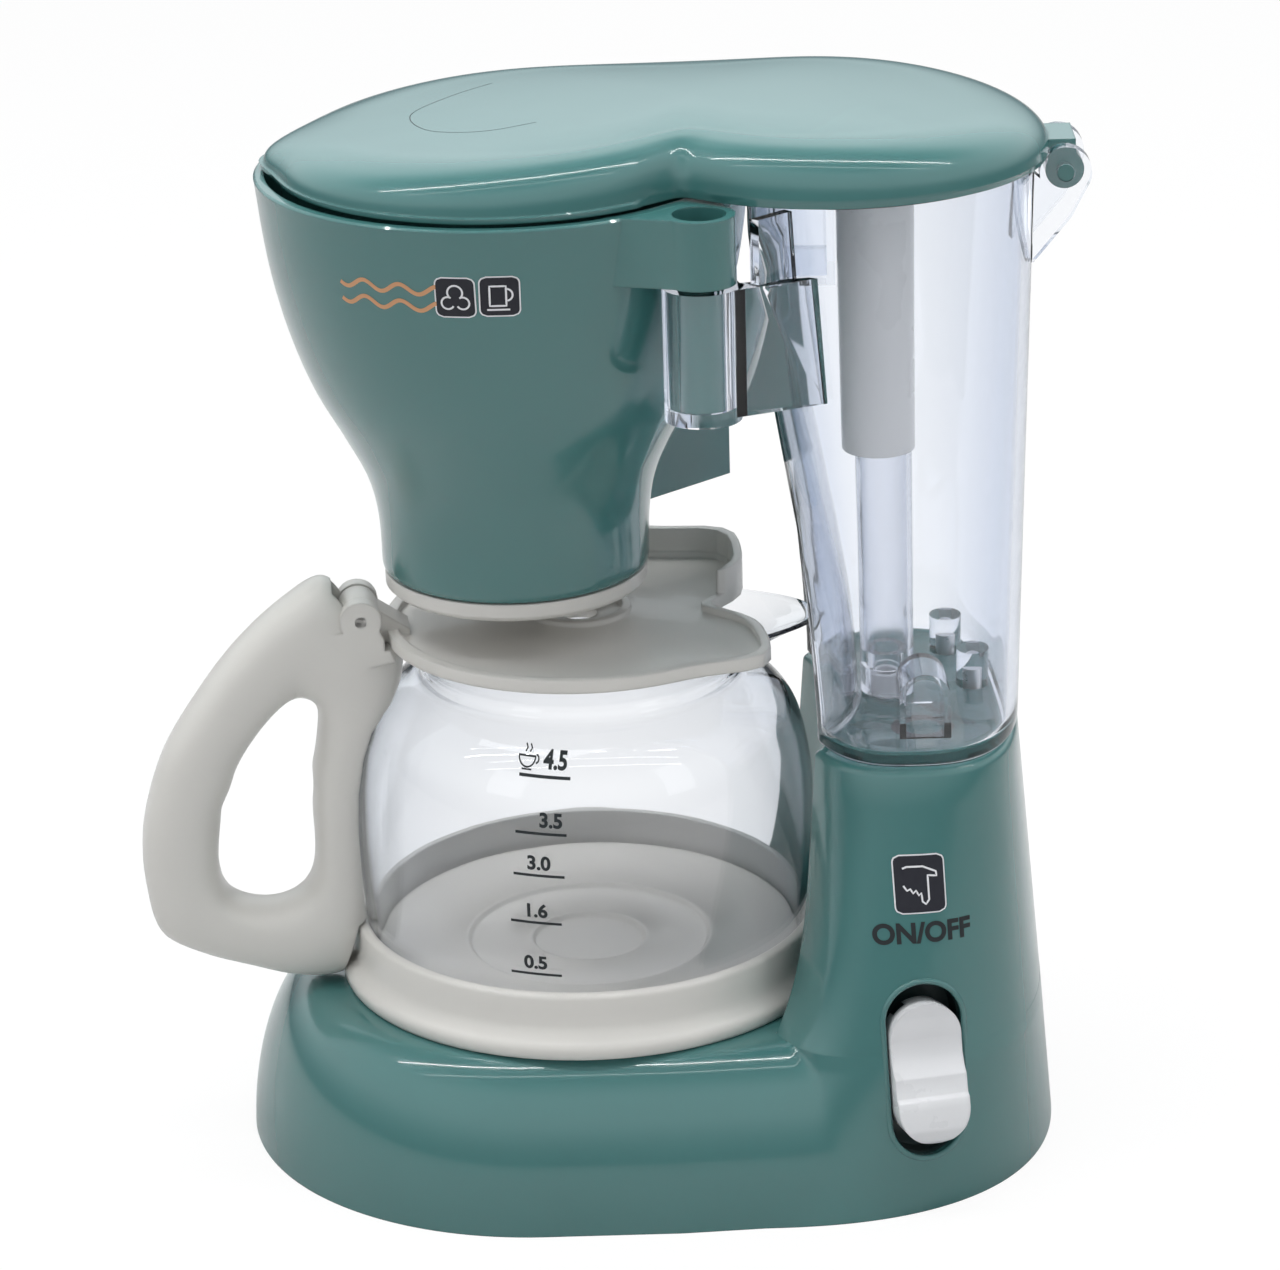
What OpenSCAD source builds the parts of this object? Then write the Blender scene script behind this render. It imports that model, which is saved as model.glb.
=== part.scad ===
// Toy coffee maker with a lift-out jug, a swing-out brew basket and a clear water tank.
// Millimetres, +Z up. The origin is the middle of the underside of the base; +X points to the
// tank, -Y to the front with the switch.

/* [Base and tower] */
// Length of the base from the jug end to the tank end
base_len = 150; // [146:1:160]
// Depth of the base from front to back
base_depth = 110; // [106:1:120]
// Height of the plateau that the jug stands on
base_h = 30; // [28:1:36]
// How far the rounded shoulder of the base runs in
base_round = 14; // [10:1:16]
// Height of the seat of the water tank on top of the tower
tower_h = 80; // [76:1:88]
// Slope of the front of the tower, run over rise
tower_slope = 0.24; // [0.18:0.02:0.26]
// Wall of the green mouldings
shell_wall = 2.2; // [1.8:0.1:2.6]

/* [Water tank] */
// Depth of the tank from front to back at its floor
tank_depth = 69.6; // [66:0.2:72]
// Height of the tank above its seat
tank_h = 103; // [98:1:106]
// Wall of the clear tank
tank_wall = 1.8; // [1.4:0.1:2.2]
// Outer radius of the clear riser tube
riser_r = 5.4; // [4.8:0.1:5.6]
// Outer radius of the white sleeve over the riser
sleeve_r = 7; // [6.8:0.1:7.4]
// Length of the white sleeve below the rim of the tank
sleeve_len = 54; // [40:1:70]

/* [Jug] */
// Place of the jug axis along the base
jug_x = -11; // [-12:0.5:-10]
// Angle that the handle is turned towards the front
jug_turn = 6; // [3:1:8]
// Radius of the foot ring of the jug
foot_r = 46; // [44:0.5:46.5]
// Height of the foot ring
foot_h = 11.6; // [10:0.2:13]
// Largest radius of the glass
glass_r = 42.3; // [41:0.1:42.5]
// Height of the rim of the glass above the plateau
glass_h = 66; // [65:0.5:67]
// Wall of the glass
glass_wall = 1.6; // [1.2:0.1:2]
// Radius of the jug lid
jug_lid_r = 35.3; // [34.5:0.1:36]
// Half the thickness of the handle
handle_half = 6.8; // [5.5:0.1:7.5]

/* [Brew basket] */
// Place of the basket axis along the base
basket_x = -22; // [-23:0.5:-21]
// Radius of the rim of the basket
basket_r = 43.8; // [43:0.1:44.2]
// Radius of the foot of the basket
basket_foot_r = 24.2; // [23:0.1:25]
// Clearance between the jug lid and the outlet of the basket
outlet_gap = 5.6; // [5:0.2:8]
// Wall of the basket
basket_wall = 2; // [1.6:0.1:2.4]
// Radius of the hinge barrel on the arm of the basket
barrel_r = 6.2; // [5.8:0.1:6.4]
// Radius of the pin below the barrel
pivot_r = 4; // [3.5:0.1:4.4]
// Outer radius of the clear hinge socket
socket_r = 6.7; // [6.4:0.1:6.9]

/* [Lid] */
// Radius of the lid over the basket
lid_left_r = 39.8; // [39.4:0.1:40.4]
// Radius of the lid over the tank
lid_right_r = 38.1; // [38:0.1:38.6]
// Height of the lid above its edge
lid_h = 9.8; // [9:0.2:10.6]
// Wall of the lid
lid_wall = 1.8; // [1.4:0.1:2.2]

/* [Switch] */
// Place of the switch across the front of the tower
switch_x = 49.2; // [47:0.2:52]
// Height of the middle of the switch
switch_z = 26.6; // [25:0.2:28]
// Width of the oval well around the rocker
well_w = 14.4; // [14:0.1:15]
// Height of the oval well around the rocker
well_h = 32.4; // [31:0.2:33]
// Length of the rocker button
rocker_len = 25.4; // [24:0.2:26]

/* [Fits] */
// Running clearance around a pin or shaft, on the radius
pin_gap = 0.08; // [0.05:0.01:0.1]
// Clearance between parts that move past each other
move_gap = 0.6; // [0.4:0.1:0.8]
// Clearance between fixed parts that fit into each other
fit_gap = 0.2; // [0.1:0.05:0.3]

/* [Hidden] */
$fn = 64;
eps = 0.01;

green = [0.28, 0.47, 0.42];
cream = [0.93, 0.91, 0.84];
white = [0.95, 0.95, 0.94];
clear = [0.80, 0.84, 0.92, 0.35];
dark = [0.15, 0.16, 0.17];
steel = [0.72, 0.73, 0.75];

// ---- shapes shared by the sub-parts ----

ring_n = 72;

// A closed solid through a stack of outlines with equal numbers of points
module loft(rings) {
    n = len(rings[0]);
    m = len(rings);
    polyhedron(
        points = [for (ring = rings) each ring],
        faces = concat(
            [[for (j = [0:n - 1]) j]],
            [for (i = [0:m - 2], j = [0:n - 1], half = [0, 1])
                let (a = i * n + j, b = i * n + (j + 1) % n)
                half == 0 ? [a, a + n, b + n] : [a, b + n, b]],
            [[for (j = [n - 1:-1:0]) (m - 1) * n + j]]));
}

// A list in reverse order, which turns the rings of an outside into those of a hollow
function back(list) = [for (i = [len(list) - 1:-1:0]) list[i]];

// A closed ring-shaped solid through sections that run round a loop
module loop_loft(sections) {
    n = len(sections[0]);
    m = len(sections);
    polyhedron(
        points = [for (section = sections) each section],
        faces = [for (i = [0:m - 1], j = [0:n - 1], half = [0, 1])
            let (a = i * n + j, b = i * n + (j + 1) % n,
                 c = ((i + 1) % m) * n + j, d = ((i + 1) % m) * n + (j + 1) % n)
            half == 0 ? [a, c, d] : [a, d, b]]);
}

// A point on a rounded box outline of half-sizes a and b and squareness n, at the angle t
function oval(a, b, n, t) =
    [a * sign(cos(t)) * pow(abs(cos(t)), 2 / n), b * sign(sin(t)) * pow(abs(sin(t)), 2 / n)];

module stadium(w, h) {
    square([w, h - w], center = true);
    for (s = [-1, 1]) translate([0, s * (h - w) / 2]) circle(d = w);
}

// ---- base and tower outlines ----

base_end = base_depth / 2;
base_mid = base_len / 2 - base_end;
end_square = 2.4;
tuck = 2.4;
tank_half = tank_depth / 2;
seat_mid = 48;
seat_right = 68.4;
seat_square = 2.7;
hollow_r = 48;
hollow_x = 37;
lip = 0.8;

// Inset of the domed side at the height z below a plateau at the height top
function dome_inset(z, top) = base_round * (1 - pow(1 - pow(max(min(z / top, 1), 0), 1.7), 1 / 2.2));

// Edge of the round hollow on the jug side of the tower and the tank
function hollow_at(x0, r, y) = x0 - r + sqrt(max(r * r - y * y, 0));

function in_oval(x, y, a, b, n) = pow(abs(x) / a, n) + pow(abs(y) / b, n) < 1;

// The tank end of the base draws in a little, so that the tower forms the wall there
function in_base(x, y, r) =
    let (w = r - tuck * max(min((x - 5) / 35, 1), 0))
    abs(x) < base_mid ? abs(y) < w : in_oval(abs(x) - base_mid, y, w, w, x > 0 ? end_square : 2);

function in_tower(x, y, z, inset) =
    let (drop = tower_h - z, mid = lookup(z, [[0, base_mid], [27, 37], [tower_h, seat_mid]]),
         n = lookup(z, [[0, end_square], [27, seat_square]]),
         left = 27.2 - 9 * exp(-max(z - base_h, 0) / 9),
         right = seat_right + (base_len / 2 - seat_right) * drop / tower_h)
    x > hollow_at(hollow_x, hollow_r, y) + inset
    && in_oval(x - mid, y, (x < mid ? mid - left : right - mid) - inset,
               tank_half + tower_slope * drop - inset, n);

// Distance along the direction t from the middle of the seat to the outline at the height z;
// r is the half depth of the base there, or 0 above the plateau
function shell_reach(z, inset, r, t, near = 1, far = 140, steps = 15) =
    steps == 0 ? near
    : let (d = (near + far) / 2, x = seat_mid + d * cos(t), y = d * sin(t))
      (r > 0 && in_base(x, y, r)) || in_tower(x, y, z, inset)
        ? shell_reach(z, inset, r, t, d, far, steps - 1)
        : shell_reach(z, inset, r, t, near, d, steps - 1);

function shell_ring(z, inset, r) =
    [for (k = [0:ring_n - 1])
        let (a = 360 * (k + 0.5) / ring_n, t = a + 26 * sin(a), d = shell_reach(z, inset, r, t))
        [seat_mid + d * cos(t), d * sin(t), z]];

function base_ring(z, inset, top) = shell_ring(z, inset, base_end - inset - dome_inset(z, top));

// Rings of base and tower in one body, from the foot to the plateau and on to the seat of the tank
function shell_rings(inset, plateau, seat) = concat(
    [for (u = [0, 0.3, 0.48, 0.63, 0.76, 0.86, 0.93, 0.975, 1]) base_ring(u * plateau, inset, plateau)],
    [for (u = [0, 0.07, 0.18, 0.4, 0.66, 0.9])
     shell_ring(plateau + u * (seat - 2 - plateau), inset + 2 * eps, 0)],
    [shell_ring(seat - 1.4, inset + 2 * eps, 0), shell_ring(seat - 0.4, inset + lip / 2, 0),
     shell_ring(seat, inset + lip * 1.5, 0)]);

// ---- base ----

plate_t = 2;
plate_ledge = 0.6;
boss_r = 3.6;
screw_r = 1.5;
screw_head_r = 2.8;
base_screw_at = [[-52, -26], [-52, 26], [30, -40], [30, 40]];
boss_low = plate_t + 3;
deck_t = 2.2;
pump_x = 50.5;
pump_y = -17;
riser_x = 44.6;
neck_r = 6;
tank_screw_at = [[58, 20], [62, 2]];
spigot_r = riser_r - 2.2;

switch_tilt = atan(0.7 * tower_slope);
switch_turn = 13;
switch_y = -0.975 * (tank_half + tower_slope * (tower_h - switch_z));

// Places its children on the front of the tower with +Z outwards and +Y up the slope
module on_switch() {
    translate([switch_x, switch_y, switch_z]) rotate([0, 0, switch_turn]) rotate([90 - switch_tilt, 0, 0])
        children();
}

module plate_outline(gap) {
    polygon([for (p = base_ring(0, shell_wall - plate_ledge + gap, base_h)) [p[0], p[1]]]);
}

module base_shell() {
    color(green)
    difference() {
        union() {
            loft(concat(back(shell_rings(shell_wall, base_h - shell_wall, tower_h - deck_t)),
                        shell_rings(0, base_h, tower_h)));
            for (p = base_screw_at) translate([p[0], p[1], boss_low])
                cylinder(r = boss_r, h = base_h - boss_low - 0.6 * shell_wall);
        }
        translate([0, 0, -1]) linear_extrude(1 + plate_t) plate_outline(0);
        for (p = base_screw_at) translate([p[0], p[1], 0]) cylinder(r = screw_r, h = 16);
        on_switch() translate([0, 0, -12]) linear_extrude(24) stadium(well_w, well_h);
        translate([pump_x, pump_y, tower_h - 12]) cylinder(r = neck_r + fit_gap, h = 20);
        translate([riser_x, 0, tower_h - 12]) cylinder(r = spigot_r + fit_gap, h = 20);
        on_lugs(pump_top - 1) cylinder(r = pump_screw_r, h = 2.5);
        for (p = tank_screw_at) translate([p[0], p[1], tower_h - 12])
            cylinder(r = screw_r + fit_gap, h = 20);
    }
}

cell_r = 7.25;
cell_l = 50;
cell_y = cell_r + 0.35;
cell_z = 2.5 + cell_r;
contact_t = 0.5;
contact_reach = 2.45;
bay_w = 4 * cell_r + 4;
bay_l = cell_l + 2 * (contact_t + contact_reach + 0.05);
bay_x = -16;
bay_h = cell_z + cell_r + 0.5;
door_t = 1.6;
door_screw_x = bay_x + bay_l / 2 + 5;

module base_plate() {
    color(green)
    difference() {
        union() {
            linear_extrude(plate_t) plate_outline(fit_gap);
            translate([bay_x - bay_l / 2 - 1.6, -bay_w / 2 - 1.6, 0])
                cube([bay_l + 3.2, bay_w + 3.2, bay_h + 1.6]);
            translate([door_screw_x, 0, 0]) cylinder(r = 4, h = 9);
        }
        translate([bay_x - bay_l / 2, -bay_w / 2, -eps]) cube([bay_l, bay_w, bay_h]);
        translate([bay_x - bay_l / 2 - 1, -bay_w / 2 - 1, -1])
            cube([bay_l + 10, bay_w + 2, 1 + door_t + fit_gap]);
        translate([door_screw_x, 0, -1]) cylinder(r = screw_r, h = 9);
        for (p = base_screw_at) translate([p[0], p[1], -1]) {
            cylinder(r = screw_r + fit_gap, h = 5);
            cylinder(r = screw_head_r + fit_gap, h = 1 + plate_t / 2);
        }
        for (i = [0:3]) translate([36 + 5 * i, -9, -1]) cube([2.2, 18, plate_t + 2]);
    }
}

module battery_door() {
    color(green)
    difference() {
        union() {
            translate([bay_x - bay_l / 2 - 1 + fit_gap, -bay_w / 2 - 1 + fit_gap, 0])
                cube([bay_l + 10 - 2 * fit_gap, bay_w + 2 - 2 * fit_gap, door_t]);
            for (s = [-1, 1]) translate([bay_x - 10, s * cell_y - 1, door_t - eps]) cube([20, 2, 0.6]);
        }
        translate([door_screw_x, 0, -1]) cylinder(r = screw_r + fit_gap, h = 5);
        translate([door_screw_x, 0, -1]) cylinder(r = screw_head_r + fit_gap, h = 1.8);
        for (i = [0:4]) translate([bay_x - 20 + 2.4 * i, -8, -0.5]) cube([1.2, 16, 1]);
    }
}

// A pan-head screw with its head down and its tip up
module screw(r, head_r, head_h, length) {
    difference() {
        union() {
            cylinder(r = head_r, h = head_h);
            translate([0, 0, head_h - eps]) cylinder(r = r, h = length);
        }
        for (a = [0, 90]) rotate(a) translate([-head_r * 0.7, -0.35, -1]) cube([head_r * 1.4, 0.7, 1.6]);
    }
}

module base_screws() {
    color(steel)
    for (p = base_screw_at) translate([p[0], p[1], 0]) screw(screw_r, screw_head_r, plate_t / 2, 12);
}

module door_screw() {
    color(steel) translate([door_screw_x, 0, 0]) screw(screw_r, screw_head_r, 0.8, 6.5);
}

module batteries() {
    color("darkorange")
    for (s = [-1, 1]) translate([bay_x, s * cell_y, cell_z]) rotate([0, s * 90, 0]) {
        translate([0, 0, -cell_l / 2]) cylinder(r = cell_r, h = cell_l - 1.2);
        translate([0, 0, cell_l / 2 - 1.2 - eps]) cylinder(r = 2.7, h = 1.2);
    }
}

// Two flat plates on the bay walls, each with a raised knob or a coil cone that meets a cell
module battery_contacts() {
    color(steel)
    for (e = [-1, 1], s = [-1, 1]) translate([bay_x + e * bay_l / 2, s * cell_y, cell_z])
        rotate([0, -e * 90, 0]) {
        translate([-5, -5, 0]) cube([10, 10, contact_t]);
        translate([0, 0, contact_t - eps])
            cylinder(r1 = e == s ? 2 : 4.5, r2 = e == s ? 1.6 : 2.6, h = contact_reach);
    }
}

// ---- switch ----

well_depth = 9;
pivot_depth = -6.4;
rocker_w = well_w - 2 * move_gap;
rocker_pin_r = 1;
housing_front = pivot_depth + rocker_pin_r + 0.6;

module power_switch() {
    color(green) on_switch()
    difference() {
        union() {
            translate([0, 0, -well_depth - 1.4]) linear_extrude(well_depth + 1.4 + housing_front)
                stadium(well_w + 3, well_h + 2.4);
            translate([0, 0, -well_depth - 8]) linear_extrude(7) square([11, 15], center = true);
        }
        translate([0, 0, -well_depth]) linear_extrude(20) stadium(well_w, well_h);
        translate([-20, 0, pivot_depth]) rotate([0, 90, 0]) cylinder(r = rocker_pin_r + 0.02, h = 40);
        for (s = [-1, 1]) translate([s * 3, 0, -well_depth - 9]) cylinder(r = 0.9, h = 3);
    }
}

module rocker_button() {
    color(white) on_switch()
    difference() {
        intersection() {
            translate([0, 0, -well_depth]) linear_extrude(20) stadium(rocker_w, rocker_len);
            rotate([90, 0, 90]) translate([0, 0, -rocker_w]) linear_extrude(2 * rocker_w)
                polygon([[-rocker_len / 2, -4.6], [-4, -4.6], [-2.2, pivot_depth - 2],
                         [2.2, pivot_depth - 2], [4, -4.6],
                         [rocker_len / 2, -4.6], [rocker_len / 2, 1.4], [10, 0.6], [6, 0],
                         [3, 0.1], [0.6, 1], [-0.6, 2], [-4, 2.4], [-4.6, 3.2], [-10, 4], [-12, 3.6],
                         [-rocker_len / 2, 2.6]]);
        }
        translate([-20, 0, pivot_depth]) rotate([0, 90, 0]) cylinder(r = rocker_pin_r + pin_gap, h = 40);
        for (s = [-1, 1]) translate([0, s * 8, -4.6]) cube([rocker_w - 3, 8, 4], center = true);
    }
}

module rocker_pin() {
    color(steel) on_switch()
    translate([-(well_w + 3) / 2, 0, pivot_depth]) rotate([0, 90, 0])
        cylinder(r = rocker_pin_r, h = well_w + 3);
}

// ---- pump under the tank ----

pump_r = 9.4;
pump_top = tower_h - deck_t;
pump_low = pump_top - 13;
motor_r = 8.4;
motor_h = 25;
motor_top = pump_low - 1;
shaft_r = 1;
chamber_r = 7.2;
chamber_h = 6;
lug_r = 11.4;
lug_turns = [20, 130, 260];
pump_screw_r = 1.05;

// Places its children on the pump axis at the lugs of its flange
module on_lugs(z) {
    for (a = lug_turns) translate([pump_x + lug_r * cos(a), pump_y + lug_r * sin(a), z]) children();
}

module pump_housing() {
    color(white)
    difference() {
        union() {
            translate([pump_x, pump_y, pump_low]) cylinder(r = pump_r, h = pump_top - pump_low);
            on_lugs(pump_top - 2) cylinder(r = 2.6, h = 2);
            for (a = lug_turns) translate([pump_x, pump_y, pump_top - 2]) rotate(a)
                translate([0, -2.2, 0]) cube([lug_r, 4.4, 2]);
            translate([pump_x, pump_y, pump_top - eps]) cylinder(r = neck_r, h = deck_t - 1);
            translate([pump_x, pump_y, pump_low - 6]) cylinder(r = pump_r, h = 6 + eps);
            hull() {
                translate([pump_x, pump_y, pump_low + 3]) cylinder(r = 4, h = 6.8, $fn = 32);
                translate([riser_x, 0, pump_low + 3]) cylinder(r = spigot_r + 1, h = 6.8, $fn = 32);
            }
            translate([riser_x, 0, pump_low + 8]) cylinder(r = spigot_r, h = tower_h + 6 - pump_low - 8);
        }
        translate([pump_x, pump_y, pump_low + 2]) cylinder(r = chamber_r, h = chamber_h);
        translate([pump_x, pump_y, pump_low + 2]) cylinder(r = 3.6, h = 30);
        translate([pump_x, pump_y, pump_low - 8]) cylinder(r = motor_r + 0.1, h = 7);
        translate([pump_x, pump_y, pump_low - 3]) cylinder(r = shaft_r + pin_gap, h = 8);
        translate([riser_x, 0, pump_low + 5]) cylinder(r = spigot_r - 1, h = 40);
        on_lugs(pump_top - 4) cylinder(r = pump_screw_r + fit_gap, h = 8);
    }
}

module pump_screws() {
    color(steel)
    on_lugs(pump_top - 3.1) screw(pump_screw_r, 1.8, 1.1, 3.4);
}

module pump_gasket() {
    color(dark)
    translate([pump_x, pump_y, tower_h - 1]) difference() {
        cylinder(r = neck_r, h = 1);
        translate([0, 0, -1]) cylinder(r = 3.6, h = 3);
    }
}

module pump_impeller() {
    color(white) {
        translate([pump_x, pump_y, pump_low + 2.4]) {
            cylinder(r = chamber_r - 1, h = 1);
            for (a = [0:60:300]) rotate(a) translate([2, -0.5, 0.9])
                cube([chamber_r - 3.4, 1, chamber_h - 1.9]);
            cylinder(r = 2.4, h = chamber_h - 1);
        }
        translate([pump_x, pump_y, motor_top - 5])
            cylinder(r = shaft_r, h = pump_low + 3 - motor_top + 5);
    }
}

module motor() {
    color(steel)
    translate([pump_x, pump_y, motor_top - motor_h]) difference() {
        union() {
            intersection() {
                cylinder(r = motor_r, h = motor_h);
                translate([-motor_r, -6.6, 0]) cube([2 * motor_r, 13.2, motor_h]);
            }
            translate([0, 0, motor_h - 6]) cylinder(r = motor_r, h = 6);
            translate([0, 0, -1.6]) cylinder(r = 3, h = 2);
        }
        translate([0, 0, motor_h - 8]) cylinder(r = shaft_r + pin_gap, h = 20);
    }
}

// A wire that runs straight between its points, a little thicker at its bends
module wire(points, r) {
    for (i = [0:len(points) - 2]) {
        a = points[i];
        b = points[i + 1];
        d = b - a;
        run = norm(d);
        translate(a) rotate([0, acos(d[2] / run), atan2(d[1], d[0])]) cylinder(r = r, h = run);
        if (i > 0) translate(a) sphere(r = r * 1.08);
    }
}

wire_r = 0.8;
wire_x = bay_x + bay_l / 2 + 1.75;
terminal_z = motor_top - motor_h - 1.6 - wire_r;

// The same place as on_switch gives, for one point
function switch_point(x, y, z) =
    let (out = y * sin(switch_tilt) - z * cos(switch_tilt))
    [switch_x + x * cos(switch_turn) - out * sin(switch_turn),
     switch_y + x * sin(switch_turn) + out * cos(switch_turn),
     switch_z + y * cos(switch_tilt) + z * sin(switch_tilt)];

module red_wire() {
    color("firebrick")
    wire([[wire_x, -10, 13], [34, -14, 15], switch_point(-3, 1, -well_depth - 16),
          switch_point(-3, 0, -well_depth - 8)], wire_r);
}

module black_wire() {
    color(dark)
    wire([[wire_x, 10, 13], [34, 6, 14], [44, -6, 23], [pump_x, pump_y, terminal_z - 4],
          [pump_x, pump_y, terminal_z + wire_r]], wire_r);
}

// ---- water tank ----

tank_top = tower_h + tank_h;
tank_floor = tower_h + 2;
hinge_x = 12;
hinge_y = -36.5;
socket_low = 147;
socket_top = 170.6;
lid_gap = 0.8;
lid_z = tank_top + lid_gap;
lid_axis_x = 76.6;
lid_axis_z = lid_z - 2.8;
lid_pin_r = 1.5;
ear_r = 4.6;
ear_in = 6;
ear_t = 3;

tank_n = 48;

// Plan of the tank: an oval whose jug side is hollowed by a round arc, slimmer towards the top
function tank_ring(z, inset) =
    let (u = (z - tower_h) / tank_h, mid = seat_mid - 11.5 * u, half = tank_half + 1.1 * u - inset,
         left = lookup(u, [[0, 29], [0.4, 26.5], [0.62, 22.6], [1, 17.2]]) + inset,
         right = seat_right + 3.4 * u - inset,
         arc_x = lookup(u, [[0, hollow_x], [0.15, hollow_x - 0.4], [0.8, 24.6]]) + inset)
    [for (k = [0:tank_n - 1])
        let (t = -90 + 360 * k / tank_n,
             p = oval(cos(t) < 0 ? mid - left : right - mid, half, seat_square - 0.65 * u, t) + [mid, 0])
        [max(p[0], hollow_at(arc_x, hollow_r - 1.6 * u, p[1])), p[1], z]];

// Rings of the tank from a rounded floor edge to the rim
function tank_rings(inset, low, edge) = concat(
    [tank_ring(low, inset + edge), tank_ring(low + edge / 2, inset + edge / 4),
     tank_ring(low + edge, inset)],
    [for (u = [0.15, 0.4, 0.62, 0.8, 1]) tank_ring(tower_h + u * tank_h, inset)]);

// Channel below the spout, open at the top
module spout_channel() {
    translate([24.9, -11, socket_top - 8]) difference() {
        cube([11, 22, tank_top - socket_top + 7]);
        translate([-1, 1.5, 1.5]) cube([10.5, 19, 60]);
    }
}

module lid_ear(y) {
    translate([0, y + ear_t / 2, 0]) rotate([90, 0, 0]) linear_extrude(ear_t) {
        translate([lid_axis_x, lid_axis_z]) circle(r = ear_r);
        polygon([[70, tank_top - 1], [70, tank_top - 18], [71, tank_top - 18],
                 [lid_axis_x + 1, lid_axis_z - 8],
                 [lid_axis_x + 3.4, lid_axis_z - 3], [lid_axis_x, lid_axis_z],
                 [lid_axis_x - 3.6, tank_top - 1]]);
    }
}

module water_tank() {
    color(clear)
    difference() {
        union() {
            loft(concat(tank_rings(0, tower_h, 1.4), back(tank_rings(tank_wall, tank_floor, 1.2))));
            spout_channel();
            for (p = tank_screw_at) translate([p[0], p[1], tank_floor - 1]) cylinder(r = 3.4, h = 8);
            translate([hinge_x, hinge_y, socket_low]) cylinder(r = socket_r, h = socket_top - socket_low);
            translate([0, 0, socket_low + 1]) linear_extrude(socket_top - socket_low - 1)
                polygon([[hinge_x + 4, hinge_y - 4.2], [33.4, -33.75], [33.2, -33.1],
                         [hinge_x + 5, hinge_y + 0.6]]);
            translate([0, 0, socket_top - 1]) linear_extrude(tank_top - socket_top)
                polygon([[20.5, -36.4], [22, -37.4], [29, -31.2], [27.6, -30]]);
            for (s = [-1, 1]) lid_ear(s * (ear_in + ear_t / 2));
        }
        translate([hinge_x, hinge_y, socket_low + 2]) cylinder(r = pivot_r + pin_gap, h = 60);
        translate([lid_axis_x, 20, lid_axis_z]) rotate([90, 0, 0])
            cylinder(r = lid_pin_r + pin_gap, h = 40);
        translate([pump_x, pump_y, tower_h - 1]) cylinder(r = 3.6, h = 8);
        translate([riser_x, 0, tower_h - 1]) cylinder(r = spigot_r + fit_gap, h = 8);
        for (p = tank_screw_at) translate([p[0], p[1], tower_h - 1]) cylinder(r = screw_r - 0.1, h = 7);
    }
}

module tank_screws() {
    color(steel)
    for (p = tank_screw_at) translate([p[0], p[1], tower_h - deck_t - 1.2])
        screw(screw_r - 0.13, screw_head_r, 1.2, 7.5);
}

module intake_cover() {
    color(clear)
    translate([pump_x, pump_y - 2, tank_floor]) difference() {
        union() {
            translate([-4.6, -5.6, 0]) cube([9.2, 11.2, 7.5]);
            translate([0, -5.6, 7.5]) rotate([-90, 0, 0]) cylinder(r = 4.6, h = 11.2);
        }
        translate([-3.4, -4.4, -1]) cube([6.8, 8.8, 8.5]);
        translate([0, -4.4, 7.5]) rotate([-90, 0, 0]) cylinder(r = 3.4, h = 8.8);
        translate([-2, 3, -1]) cube([4, 4, 4]);
    }
}

tube_wall = 1;
spout_low = lid_z + 0.4;
spout_h = 3.8;
spout_reach = 8;

module riser_tube() {
    color(clear)
    translate([riser_x, 0, tank_floor + 0.5]) difference() {
        cylinder(r = riser_r, h = tank_top - 3.5 - tank_floor);
        translate([0, 0, -1]) cylinder(r = spigot_r + fit_gap, h = 5.5);
        translate([0, 0, -1]) cylinder(r = spigot_r - 0.4, h = 200);
        translate([0, 0, 8]) cylinder(r = riser_r - tube_wall, h = 200);
    }
}

module spout_sleeve() {
    color(white)
    difference() {
        union() {
            translate([riser_x - 1, 0, tank_top - sleeve_len])
                cylinder(r = sleeve_r, h = spout_low + spout_h - tank_top + sleeve_len);
            translate([spout_reach, -5, spout_low]) cube([riser_x - spout_reach, 10, spout_h]);
        }
        translate([riser_x, 0, tank_top - sleeve_len - 1])
            cylinder(r = riser_r + 0.05, h = sleeve_len - 1.9);
        translate([riser_x, 0, tank_top - 10]) cylinder(r = riser_r - tube_wall, h = 12.5);
        translate([spout_reach + 1.4, -3.6, spout_low + 1])
            cube([riser_x - spout_reach, 7.2, spout_h - 2]);
        translate([spout_reach + 1.4, -3.6, spout_low - 1]) cube([5, 7.2, 3]);
    }
}

// ---- lid ----

lid_at = [11.6, 2];
lid_left_at = [-21.6, -1.6];
lid_right_at = [36.4, -0.6];
lid_edge = 10;
lid_high_x = 26;
crown = 1;
lip_run = 0.8;
tab_run = 2.8;
tab_turn = 6;
inset_gain = 1.1;
waist_spread = 1.2;

// Distance from the middle of the lid to a round lobe, in the direction t
function lobe_reach(at, r, t) =
    let (v = lid_at - at, b = v * [cos(t), sin(t)], q = b * b - v * v + r * r)
    q > 0 ? max(-b + sqrt(q), 0.1) : 0.1;

// Distance from the middle of the lid to its outline: two round lobes, a waist at the front,
// a straight back that touches both lobes and a small finger tab at the basket end
function lid_outline(t) =
    let (a = lobe_reach(lid_left_at, lid_left_r, t), b = lobe_reach(lid_right_at, lid_right_r, t),
         d = lid_right_at - lid_left_at,
         k = atan2(d[1], d[0]) + acos((lid_left_r - lid_right_r) / norm(d)),
         n = [cos(k), sin(k)],
         from = lid_right_at + lid_right_r * n - lid_at, to = lid_left_at + lid_left_r * n - lid_at,
         tab = tab_run * exp(-pow((180 - abs(t)) / tab_turn, 2)))
    t > atan2(from[1], from[0]) && t < atan2(to[1], to[0])
        ? (n * (lid_left_at - lid_at) + lid_left_r) / (n * [cos(t), sin(t)])
        : pow(pow(a, 14) + pow(b, 14), 1 / 14) + tab;

function turned(t) = t > 180 ? t - 360 : t < -180 ? t + 360 : t;

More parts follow.
